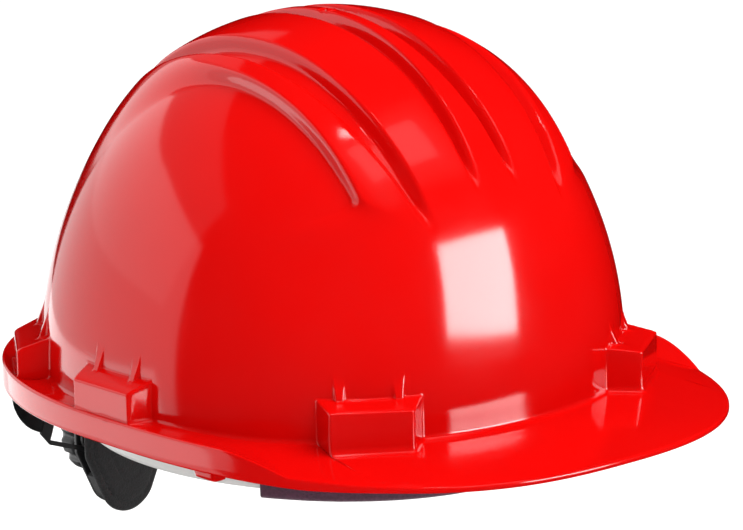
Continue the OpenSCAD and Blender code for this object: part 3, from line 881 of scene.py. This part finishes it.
def build_crossing():
    """Boxed cross stitch that holds the three straps together, seen from inside the hat."""
    spots, ahead = [], []
    h = 6.5
    corners = [(-h, -h), (h, -h), (h, h), (-h, h), (-h, -h), (h, h)]
    lines = list(zip(corners[:-1], corners[1:])) + [((-h, h), (h, -h))]
    for (x0, y0), (x1, y1) in lines:
        length = math.hypot(x1 - x0, y1 - y0)
        for s in np.arange(1.2, length - 0.8, 2.3):
            spots.append([mix(x0, x1, s / length), WEB_MID_Y + mix(y0, y1, s / length), 0])
            ahead.append([x1 - x0, y1 - y0, 0])
    spots = np.array(spots)
    layers = []
    for z, up in ((WEB_TOP - 0.1, -1), (WEB_TOP + 2 * WEB_LAYER + WEB_T + 0.1, 1)):
        facing = np.tile([0, 0, float(up)], (len(spots), 1))
        layers.append(stitches("crossing", spots + [0, 0, z], ahead, facing))
    piece = dress(join("crossing_stitch", layers), THREAD)
    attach(piece, ROOT)


def band_point(angle, grow, z):
    """Point of the headband's oval; the angle is 0 at the wearer's left and 90 at the front."""
    return np.array([(BAND_A + grow) * math.cos(angle), BAND_Y - (BAND_B + grow) * math.sin(angle), z])


def band_normal(angle):
    v = np.array([math.cos(angle) / BAND_A, -math.sin(angle) / BAND_B, 0])
    return unit(v)


def edge_roll(z, low, high):
    """How far the band's faces draw in towards its rounded edges."""
    return 0.3 * (bell(z - low, 0.9) + bell(z - high, 0.9))


def build_headband():
    """Moulded band with rolled edges, stiffening beads and rounded ends, and its hanging tabs."""
    end = -math.asin((BAND_END_Y - BAND_Y) / BAND_B)
    radius, corner = 90, 9
    sections = []
    for angle in np.linspace(end, math.pi - end, 360):
        left = min(angle - end, math.pi - end - angle) * radius
        trim = 0
        if left < corner:
            trim = corner - math.sqrt(max(corner ** 2 - max(corner - left, 0) ** 2, 0.05))
        low, high = BAND_Z + trim, BAND_Z + BAND_H - trim
        heights = np.linspace(low, high, 22)
        outline = []
        for z in heights:
            bead = 0.45 * sum(bell(z - place, 1.3) for place in BAND_BEADS)
            outline.append((BAND_T / 2 + bead - edge_roll(z, low, high), z))
        for z in heights[::-1]:
            outline.append((-BAND_T / 2 + edge_roll(z, low, high), z))
        n = band_normal(angle)
        sections.append([band_point(angle, 0, z) + n * out for out, z in outline])
    parts = [tube_of_sections("band", sections)] + [build_tab(key) for key in FRAMES]
    for part in parts:
        dress(part, GREY_PLASTIC)
    band = join("headband_moulding", parts)
    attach(band, ROOT)
    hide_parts("headband")


def build_tab(key):
    """Tab from the headband's upper edge out to a key's stud, with a round foot."""
    place, outward, sideways, *_ = FRAMES[key]
    d = place - [0, BAND_Y]
    k = 1 / math.hypot(d[0] / BAND_A, d[1] / BAND_B)
    root = np.array([k * d[0], k * d[1] + BAND_Y])
    reach = (root - place) @ outward
    slip = (root - place) @ sideways
    profile = [(reach + 0.2, slip, 2), (reach + 0.4, slip, 7)]
    for far, aside, z in ((0.2, 0.9, 10.6), (0.6, 0.45, 11.4), (0.92, 0.1, 10.8)):
        profile.append((mix(reach, TAB_LX, far), slip * aside, z))
    profile += [(TAB_LX, 0, STUD_Z + rise) for rise in (4.2, 0, -5.4)]
    path = catmull([pocket_point(key, lx, ly, z) for lx, ly, z in profile], 7)
    run = run_along(path)
    short = np.clip(TAB_HALF_W - (run[-1] - run), 0, None)
    half = np.sqrt(np.clip(TAB_HALF_W ** 2 - short ** 2, 0.05, None))
    half = np.maximum(half, 0.4) + 1.2 * smooth((8 - run) / 8)
    ahead = unit(np.gradient(path, axis=0))
    across = level(sideways)
    across = unit(across - ahead * (ahead @ across)[:, None])
    out = np.cross(across, ahead)
    loop = [(1, -0.5), (1, 0.5), (0.93, 1), (0.5, 1), (0, 1), (-0.5, 1), (-0.93, 1), (-1, 0.5),
            (-1, -0.5), (-0.93, -1), (-0.5, -1), (0, -1), (0.5, -1), (0.93, -1)]
    sections = []
    for p, w, o, h in zip(path, across, out, half):
        sections.append([p + w * h * u + o * TAB_HALF_T * v for u, v in loop])
    return tube_of_sections("tab", sections)


def sweatband_outline(puff, close, inner, outer, seam_z):
    """Section of the brow pad as offsets from the band and heights, round from its inner top."""
    outline = []
    low = BAND_Z - 1.5
    for z in np.linspace(seam_z + 3, low, 22):
        v = (z - BAND_Z + 1.5) / (seam_z + 3 - BAND_Z + 1.5)
        swell = (1 - abs(2 * v - 1) ** 4) ** 0.5
        pinch = 0.55 * bell(z - seam_z + 1.2, 0.7)
        pinch += 0.35 * bell(z + 3, 0.9) * close
        outline.append((inner - puff * (0.3 + 0.7 * swell) * (1 - pinch), z))
    for a in np.linspace(0, math.pi, 12)[1:-1]:
        radius = (outer + 1.2 - inner + puff * 0.3) / 2
        centre = (outer + 1.2 + inner - puff * 0.3) / 2
        outline.append((centre - radius * math.cos(a), low - 1.9 * math.sin(a)))
    for z in np.linspace(low, BAND_Z + 11.5, 12):
        outline.append((outer + 1.2 - 0.5 * bell(z - BAND_Z - 9.5, 0.6), z))
    outline += [(outer, z) for z in np.linspace(BAND_Z + 12, BAND_Z - 0.4, 8)]
    outline.append((inner, BAND_Z - 0.4))
    outline += [(inner, z) for z in np.linspace(BAND_Z + 2, seam_z + 3.4, 10)]
    return outline


def build_sweatband():
    """Padded brow band: a plump inner cushion folded under the band, with quilting and seams."""
    end = math.asin((BAND_Y - PAD_END_Y) / BAND_B)
    angles = np.linspace(end, math.pi - end, 300)
    inner, outer = -BAND_T / 2 - 0.4, BAND_T / 2 + 0.55
    seam_z = BAND_Z + BAND_H - 1.5
    radius, quilting = 92, 22
    sections = []
    for s, angle in zip(np.arange(300) / 299, angles):
        run = (angle - math.pi / 2) * radius
        close = float(smooth(min(s, 1 - s) * 24))
        tuft = 0.5 + 0.5 * math.cos(2 * math.pi * run / quilting)
        puff = PAD_T * (0.35 + 0.65 * close) * mix(1, 0.86, tuft ** 8)
        n = band_normal(angle)
        outline = sweatband_outline(puff, close, inner, outer, seam_z)
        sections.append([band_point(angle, 0, z) + n * out for out, z in outline])
    pad = dress(tube_of_sections("pad", sections), SWEATBAND)
    thread = Thread()
    for angle in np.arange(end + 0.03, math.pi - end - 0.02, 0.026):
        n = band_normal(angle)
        along = np.array([-n[1], n[0], 0])
        thread.add(band_point(angle, outer + 0.95, BAND_Z + 9.5), along, n)
        thread.add(band_point(angle, inner - PAD_T * 0.5, seam_z - 1.2), along, -n)
    sewn = dress(thread.mesh("thread", length=1.6, r=0.2), BACKING)
    piece = join("sweatband", [pad, sewn])
    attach(piece, ROOT)
    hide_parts("brow_pad")


# ---------------------------------------------------------------- nape adjuster


def upright(y, thickness):
    """Places a front-view outline around the wheel's axis, standing back from y."""
    def place(p):
        return np.stack([p[:, 0], y + thickness / 2 - p[:, 2], p[:, 1] + WHEEL_Z], axis=-1)
    return place


def shield_loop(grow):
    """Outline of the adjuster: wide at the arms, narrowing to a round foot."""
    points = []
    for u, v, r in ((-12, 10, 6), (12, 10, 6), (-13, -4, 5), (13, -4, 5), (0, -18, 11)):
        points += circle(u, v, r + grow, 64)
    return hull_of(points)


def rack_loops(side):
    """Outline of a toothed strap end in its own slope, and its window with teeth along one side."""
    pitch = 2 * math.pi * PITCH_R / TEETH
    half_h = PITCH_R + 1.2
    root = RACK_ROOT_X / math.cos(math.radians(ARM_SLOPE))
    end = RACK_TIP - 4
    start = end - TRAVEL - 2 * PITCH_R - 8
    half, corner = RACK_H / 2, 5
    quarter = np.linspace(0, math.pi / 2, 8)
    outline = [(-root, -STRAP_H / 2), (-root + 6, -half)]
    for a in quarter:
        outline.append((RACK_TIP - corner + corner * math.sin(a), -half + corner - corner * math.cos(a)))
    for a in quarter:
        outline.append((RACK_TIP - corner + corner * math.cos(a), half - corner + corner * math.sin(a)))
    outline += [(-root + 6, half), (-root, STRAP_H / 2)]
    toothed = -side
    shift = pitch * (1 - ARM_SLOPE * TEETH / 360) * toothed
    root_w, tip_w, tooth_h = 0.75, 0.35, 1.4
    teeth = []
    k = math.ceil((start + 2) / pitch)
    while k * pitch < end - 2:
        middle = (k + 0.5) * pitch + shift
        if start + 1 < middle < end - 1:
            teeth += [(middle - root_w, half_h), (middle - tip_w, half_h - tooth_h),
                      (middle + tip_w, half_h - tooth_h), (middle + root_w, half_h)]
        k += 1
    window = [(start, half_h)] + teeth + [(end, half_h), (end, -half_h), (start, -half_h)]
    window = [(u, v * toothed) for u, v in window]
    return [outline, window]


def arm_path(rack_mid):
    """Middle line of the right arm from behind its peg to the start of its rack."""
    x = -PLATE_X - PLATE_T / 2
    rack_root_z = WHEEL_Z + RACK_ROOT_X * math.tan(math.radians(ARM_SLOPE))
    drop = rack_root_z - PEG_Z
    last_slope = (1 - ARM_DIVE) * math.tan(math.radians(ARM_SLOPE)) * (-x - RACK_ROOT_X) / -drop
    points = [[x, y, PEG_Z] for y in np.linspace(PEG_Y + 0.1, ARM_START_Y, 14)]
    for u in np.linspace(0, 1, 48)[1:]:
        c = math.cos(u * math.pi / 2) ** (2 / ARM_PLAN_N)
        s = math.sin(u * math.pi / 2) ** (2 / ARM_PLAN_N)
        v = max(1 - c - ARM_DIVE, 0) / (1 - ARM_DIVE)
        fall = (3 - last_slope) * v ** 2 + (last_slope - 2) * v ** 3
        points.append([-RACK_ROOT_X + (x + RACK_ROOT_X) * c,
                       ARM_START_Y + (rack_mid - ARM_START_Y) * s, PEG_Z + drop * fall])
    return np.array(points)


def arm_strip(path):
    """Bending strip along a path, thin at the peg and thicker at the rack, with two sunk lines."""
    run = run_along(path)
    ahead = unit(np.gradient(path, axis=0))
    level_side = unit(np.stack([ahead[:, 1], -ahead[:, 0], 0 * run], axis=1))
    up = np.cross(level_side, ahead)
    up *= np.sign(up[:, 2:3])
    sections = []
    for p, n, v, s in zip(path, level_side, up, run):
        thick = mix(PLATE_T, RACK_T, float(smooth((s - 40) / 20))) / 2
        tall = STRAP_H / 2 - 0.6 * float(smooth((s - 10) / 20))
        groove = 0.5 * float(smooth((s - 14) / 6)) * float(smooth((run[-1] - 16 - s) / 10))
        loop = []
        for angle in turns(32):
            a = thick * float(spow(np.cos(angle), 0.4))
            b = tall * float(spow(np.sin(angle), 0.16))
            sunk = groove * bell(b / tall - 0.62, 0.14)
            sunk += groove * bell(b / tall + 0.62, 0.14)
            loop.append(p + n * (a + (-sunk if a < 0 else 0)) + v * b)
        sections.append(loop)
    return tube_of_sections("strip", sections)


def arm_disc():
    """Round end of an arm on its peg."""
    def place(p):
        return np.stack([-PLATE_X - PLATE_T / 2 + p[:, 2], PEG_Y + p[:, 0], PEG_Z + p[:, 1]], axis=-1)

    outline = []
    for a in np.linspace(math.pi / 2, 3 * math.pi / 2, 30):
        outline.append((STRAP_H / 2 * math.cos(a), STRAP_H / 2 * math.sin(a)))
    outline += [(3, -STRAP_H / 2), (3, STRAP_H / 2)]
    return extruded("disc", [outline], PLATE_T, 0.35, place)


def arm_rack(side, rack_mid):
    """Toothed rack of an arm, along the slope of the arm."""
    slope = math.radians(ARM_SLOPE)

    def place(p):
        x = p[:, 0] * math.cos(slope) + p[:, 1] * math.sin(slope)
        z = -p[:, 0] * math.sin(slope) + p[:, 1] * math.cos(slope)
        return np.stack([x, rack_mid - p[:, 2], z + WHEEL_Z], axis=-1)

    return extruded("rack", rack_loops(side), RACK_T, 0.2, place, steps=2)


def build_arm(name, side):
    """Nape arm in one moulding: round end on its peg, bending strip, and toothed rack."""
    rack_y = RACK_Y if side < 0 else RACK_Y + RACK_T + 0.3
    rack_mid = rack_y + RACK_T / 2
    parts = [arm_strip(arm_path(rack_mid)), arm_disc(), arm_rack(side, rack_mid)]
    arm = join("nape_arm_" + name, [dress(part, BLACK_PLASTIC) for part in parts])
    if side > 0:
        set_points(arm.data, get_points(arm.data) * [-1, 1, 1])
        arm.data.flip_normals()
        arm.data.update()
    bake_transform(arm)
    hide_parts("arm_end_" + name, "arm_" + name, "rack_" + name)


def build_cover():
    """Cover of the adjuster, with a ring of small raised dots around the wheel."""
    holes = [circle(u, v, 1.05, 20, -1) for u, v in SCREWS]
    outlines = [shield_loop(-0.1), circle(0, 0, 4.1, 40, -1)] + holes
    parts = [extruded("cover", outlines, COVER_T, 0.55, upright(COVER_Y, COVER_T))]
    for a in range(0, 360, 30):
        if a in (90, 240, 270, 300):
            continue
        u, v = 15.9 * math.cos(math.radians(a)), 15.9 * math.sin(math.radians(a))
        parts.append(extruded("dot", [circle(u, v - 1, 0.55, 16)], 0.7, 0.2,
                              upright(COVER_Y + COVER_T - 0.35, 0.7)))
    cover = join("adjuster_cover", [dress(part, BLACK_PLASTIC) for part in parts])
    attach(cover, "ratchet")
    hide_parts("housing_cover")


def at_angle(outline, centre, a):
    """Point of a convex outline in a direction from a centre."""
    ray = np.array([math.cos(a), math.sin(a)])
    p, q = outline - centre, np.roll(outline, -1, axis=0) - centre
    edge = q - p
    det = ray[0] * -edge[:, 1] + ray[1] * edge[:, 0]
    det = np.where(np.abs(det) < 1e-9, 1e-9, det)
    s = (p[:, 0] * -edge[:, 1] + p[:, 1] * edge[:, 0]) / det
    w = (ray[0] * p[:, 1] - ray[1] * p[:, 0]) / det
    good = (s > 0) & (w >= -1e-6) & (w <= 1 + 1e-6)
    return centre + ray * s[good].min()


def in_rack_slot(u, v):
    """Whether a point of the housing's side wall lies where a rack passes through."""
    for slope in (math.radians(-ARM_SLOPE), math.radians(ARM_SLOPE)):
        if abs(-u * math.sin(slope) + v * math.cos(slope)) < (RACK_H + 0.8) / 2:
            return True
    return False


def wall_runs(outline, centre):
    """Directions of the side wall's pieces between the slots, one list for each piece."""
    angles = np.radians(np.arange(0, 360, 1.0))
    solid = [not in_rack_slot(*at_angle(outline, centre, a)) for a in angles]
    start = solid.index(False)
    runs, current = [], []
    for k in range(start, start + 361):
        if solid[k % 360]:
            current.append(angles[k % 360])
        elif current:
            runs.append(current)
            current = []
    return runs


def build_base():
    """Base of the adjuster: floor, slotted side wall and screw posts."""
    low_y, high_y = BASE_Y + 1.9, COVER_Y - 0.1
    outline = np.array(shield_loop(0))
    inset = np.array(shield_loop(-1.6))
    centre = outline.mean(axis=0)
    parts = [extruded("floor", [shield_loop(0)], 2.1, 0.7, upright(BASE_Y, 2.1))]
    for angles in wall_runs(outline, centre):
        sections = []
        for a in angles:
            o, i = at_angle(outline, centre, a), at_angle(inset, centre, a)
            sections.append([[o[0], low_y, o[1] + WHEEL_Z], [o[0], high_y, o[1] + WHEEL_Z],
                             [i[0], high_y, i[1] + WHEEL_Z], [i[0], low_y, i[1] + WHEEL_Z]])
        if len(sections) > 1:
            parts.append(tube_of_sections("wall", sections, smooth_shading=False))
    tall = high_y - low_y
    for u, v in SCREWS:
        parts.append(extruded("post", [circle(u, v, 2.2, 24)], tall, 0.1, upright(low_y, tall)))
    base = join("adjuster_base", [dress(part, BLACK_PLASTIC) for part in parts])
    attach(base, "ratchet")
    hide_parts("housing_base")


def build_nape_pad():
    """Soft cushion on the wearer's side of the adjuster: domed, with a stitched border."""
    count, seam_at = 180, 0.84
    outline = np.array(shield_loop(2))
    centre = outline.mean(axis=0)
    closed = np.vstack([outline, outline[:1]])
    run = run_along(closed)
    where = np.linspace(0, run[-1], count, endpoint=False)
    outline = np.stack([np.interp(where, run, closed[:, k]) for k in (0, 1)], axis=1)
    back = BASE_Y - 0.1
    edge_y = back - 2.1
    swell = edge_y - PAD_Y
    rows = [(0.55, back), (0.93, back), (0.985, back - 0.3), (1, back - 0.9), (0.998, back - 1.6),
            (0.985, edge_y)]
    for s in np.linspace(0.96, 0.04, 26):
        dome = math.sqrt(max(1 - (s / 1.02) ** 3.2, 0))
        sunk = 0.55 * bell(s - seam_at, 0.025) + 0.35 * bell(s - 0.48, 0.03)
        rows.append((s, edge_y - swell * dome + sunk))
    sections = []
    for s, y in rows:
        ring = centre + (outline - centre) * s
        sections.append(np.stack([ring[:, 0], np.full(count, y), ring[:, 1] + WHEEL_Z], axis=-1))
    pad = dress(tube_of_sections("cushion", sections), NAPE_FOAM)
    border = centre + (outline - centre) * seam_at
    ahead = unit(np.roll(border, -1, axis=0) - np.roll(border, 1, axis=0))
    y = edge_y - swell * math.sqrt(1 - (seam_at / 1.02) ** 3.2) + 0.55
    thread = Thread()
    for k in range(0, count, 4):
        thread.add([border[k, 0], y, border[k, 1] + WHEEL_Z], [ahead[k, 0], 0, ahead[k, 1]], [0, -1, 0])
    sewn = dress(thread.mesh("thread", length=1.8), BLACK_PLASTIC)
    piece = join("nape_cushion", [pad, sewn])
    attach(piece, "ratchet")
    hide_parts("nape_pad")


def wheel_body(front):
    """Turned body of the wheel with scallops around its rim."""
    grips, count = 12, 288
    back = KNOB_Y
    angles = turns(count)
    scallop = np.clip(np.cos(angles * grips) - 0.1, 0, None) / 0.9
    profile = [(4.7, back + 0.05, 0), (4.7, back + 3.9, 0), (11.6, back + 3.9, 0), (12, back + 3.4, 0),
               (12, back + 0.25, 0), (12.4, back + 0.15, 0), (16.8, back + 0.15, 0.6),
               (17.6, back + 0.3, 0.9), (17.95, back + 1, 1), (18, back + 2.5, 1), (18, back + 6.5, 1),
               (17.9, back + 7.6, 1), (17.4, back + 8.5, 1), (16.6, back + 9.2, 0.8),
               (15.8, back + 9.7, 0.4), (15.2, back + 10.3, 0.1), (14.7, front - 0.2, 0), (14, front, 0),
               (12.8, front - 0.1, 0), (12.2, front - 0.7, 0), (11.6, front - 1.1, 0), (9, front - 1.3, 0),
               (6, front - 1.4, 0), (4.2, front - 1.3, 0), (3.6, front - 1.4, 0), (3.3, front - 1.9, 0),
               (3.2, front - 2.9, 0), (1.5, front - 2.95, 0)]
    sections = []
    for r, y, depth in profile:
        radius = r - 1.55 * scallop * depth
        sections.append(np.stack([radius * np.cos(angles), np.full(count, y),
                                  radius * np.sin(angles) + WHEEL_Z], axis=-1))
    body = tube_of_sections("wheel", sections)
    body.data.set_sharp_from_angle(angle=math.radians(50))
    return body


def wheel_ridge(front, a):
    """Raised ridge on the wheel's face, pointing outwards at an angle."""
    def place(p):
        u, v = p[:, 0] + 10.2, p[:, 1]
        x = u * math.cos(a) - v * math.sin(a)
        z = u * math.sin(a) + v * math.cos(a)
        return np.stack([x, front - 0.9 - p[:, 2], z + WHEEL_Z], axis=-1)

    outline = [(-1.6, -0.35), (1.1, -0.45), (1.1, 0.45), (-1.6, 0.35)]
    return extruded("ridge", [outline], 0.9, 0.2, place, steps=2)


def build_wheel():
    """Wheel with finger scallops, a dished face and a ring of moulded ridges."""
    front = KNOB_Y + KNOB_T
    parts = [wheel_body(front)] + [wheel_ridge(front, math.radians(15 * k)) for k in range(24)]
    wheel = join("wheel_grip", [dress(part, BLACK_PLASTIC) for part in parts])
    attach(wheel, "wheel")
    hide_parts("knob")


# ---------------------------------------------------------------- stage, light and camera, in metres


def view_axes(azimuth, elevation):
    """Unit vectors towards the camera, to its right and up, for a view in degrees."""
    a, e = math.radians(azimuth), math.radians(elevation)
    towards = Vector((math.sin(a) * math.cos(e), -math.cos(a) * math.cos(e), math.sin(e)))
    right = Vector((math.cos(a), math.sin(a), 0))
    return towards, right, towards.cross(right)


# Point the lights and the camera stand around, in metres
MIDDLE = Vector((0, 0, 0.06))


def area_light(name, azimuth, elevation, distance, size, radiance, roll=0, mirrored=True):
    """Panel facing the hat: mirrored ones show in its gloss only, the others light it without showing."""
    towards, right, up = view_axes(azimuth, elevation)
    light = bpy.data.lights.new(name, "AREA")
    light.shape = "RECTANGLE"
    light.size, light.size_y = size
    light.energy = radiance * math.pi * size[0] * size[1]
    obj = put(name, light)
    obj.visible_camera = False
    obj.visible_glossy = mirrored
    obj.visible_diffuse = not mirrored
    c, s = math.cos(math.radians(roll)), math.sin(math.radians(roll))
    x, y = right * c + up * s, up * c - right * s
    turn = Matrix((x, y, towards)).transposed().to_4x4()
    obj.matrix_world = Matrix.Translation(MIDDLE + towards * distance) @ turn


def build_stage():
    """Pale floor whose colour turns white with distance, a painted brightening of the far floor that the
    lamps light less, white surroundings and the lights.
    """
    floor_z, size = -0.112, 9.0
    mesh = bpy.data.meshes.new("floor")
    corners = [(-size, -size, floor_z), (size, -size, floor_z), (size, size, floor_z), (-size, size, floor_z)]
    mesh.from_pydata(corners, [], [(0, 1, 2, 3)])
    floor = put("floor", mesh)
    material, tree, shader, coords = new_material("pale_floor_painted_far_light")
    away = tree.nodes.new("ShaderNodeVectorMath")
    away.operation = "LENGTH"
    tree.links.new(coords.outputs["Object"], away.inputs[0])
    # Painted light: the floor's colour is greyer near the hat and whiter farther off, standing in for lamp
    # light that does not reach the far floor
    tone = ramp_value(tree, away.outputs["Value"], 0, 1, 0.5, 2.5)
    colour = mix_colour(tree, tone, (0.79, 0.79, 0.79), (0.98, 0.98, 0.98))
    tree.links.new(colour, shader.inputs["Base Color"])
    shader.inputs["Roughness"].default_value = 0.9
    mesh.materials.append(material)
    floor.visible_glossy = False

    world = bpy.data.worlds.new("studio")
    world.use_nodes = True
    background = world.node_tree.nodes["Background"]
    background.inputs["Color"].default_value = (1.0, 1.0, 1.0, 1)
    background.inputs["Strength"].default_value = 1.0
    world.cycles_visibility.glossy = False
    bpy.context.scene.world = world

    area_light("rear_softbox", azimuth=207, elevation=4, distance=1.6, size=(2.6, 1.55), radiance=1.2)
    area_light("rear_veil", azimuth=200, elevation=28, distance=1.7, size=(2.8, 1.3), radiance=0.3)
    area_light("rear_low", azimuth=195, elevation=-24, distance=1.2, size=(2.2, 0.55), radiance=1.4)
    area_light("window", azimuth=19, elevation=9, distance=1.3, size=(0.75, 0.52), radiance=17, roll=-6)
    area_light("rib_light", azimuth=326, elevation=75, distance=1.5, size=(0.14, 0.12), radiance=13)
    area_light("rib_glow", azimuth=5, elevation=62, distance=1.5, size=(0.9, 0.5), radiance=1.0)
    area_light("front_fill", azimuth=12, elevation=60, distance=1.6, size=(1.4, 1.0), radiance=9.0,
               mirrored=False)


def build_camera():
    """Camera in front of the hat and to one side, aimed beside its middle and slightly rolled."""
    towards, right, up = view_axes(azimuth=320.5, elevation=13.54)
    distance, roll = 1.758, math.radians(-1.44)
    camera = bpy.data.cameras.new("camera")
    camera.sensor_width = 36
    camera.lens = 228.9
    camera.clip_start, camera.clip_end = 0.05, 30
    obj = put("camera", camera)
    place = MIDDLE + towards * distance
    aim = MIDDLE + right * 0.0155 - up * 0.0142
    back = (place - aim).normalized()
    x = Vector((0, 0, 1)).cross(back).normalized()
    y = back.cross(x)
    x, y = x * math.cos(roll) + y * math.sin(roll), y * math.cos(roll) - x * math.sin(roll)
    turn = Matrix((x, y, back)).transposed().to_4x4()
    obj.matrix_world = Matrix.Translation(place) @ turn
    scene = bpy.context.scene
    scene.camera = obj
    scene.view_settings.view_transform = "Standard"
    scene.view_settings.look = "None"


# ---------------------------------------------------------------- assembly

build_shell()
build_webbing("webbing_right_front", ("front", "right"), ("rear", "left"), 0, "strap_right_front")
build_webbing("webbing_left_front", ("front", "left"), ("rear", "right"), WEB_LAYER, "strap_left_front")
build_webbing("webbing_sides", ("side", "right"), ("side", "left"), 2 * WEB_LAYER, "strap_sides")
build_crossing()
build_headband()
build_sweatband()
for name, side in SIDES.items():
    build_arm(name, side)
build_cover()
build_base()
build_nape_pad()
build_wheel()

for row in POCKETS:
    for name in SIDES:
        dress_node("key_{}_{}".format(row, name), GREY_PLASTIC)
for name in SIDES:
    dress_node("peg_" + name, BLACK_PLASTIC)
dress_node("pinion", ACETAL)
for name in ("housing_screws", "detent_spring", "knob_screw"):
    dress_node(name, STEEL)

build_stage()
build_camera()
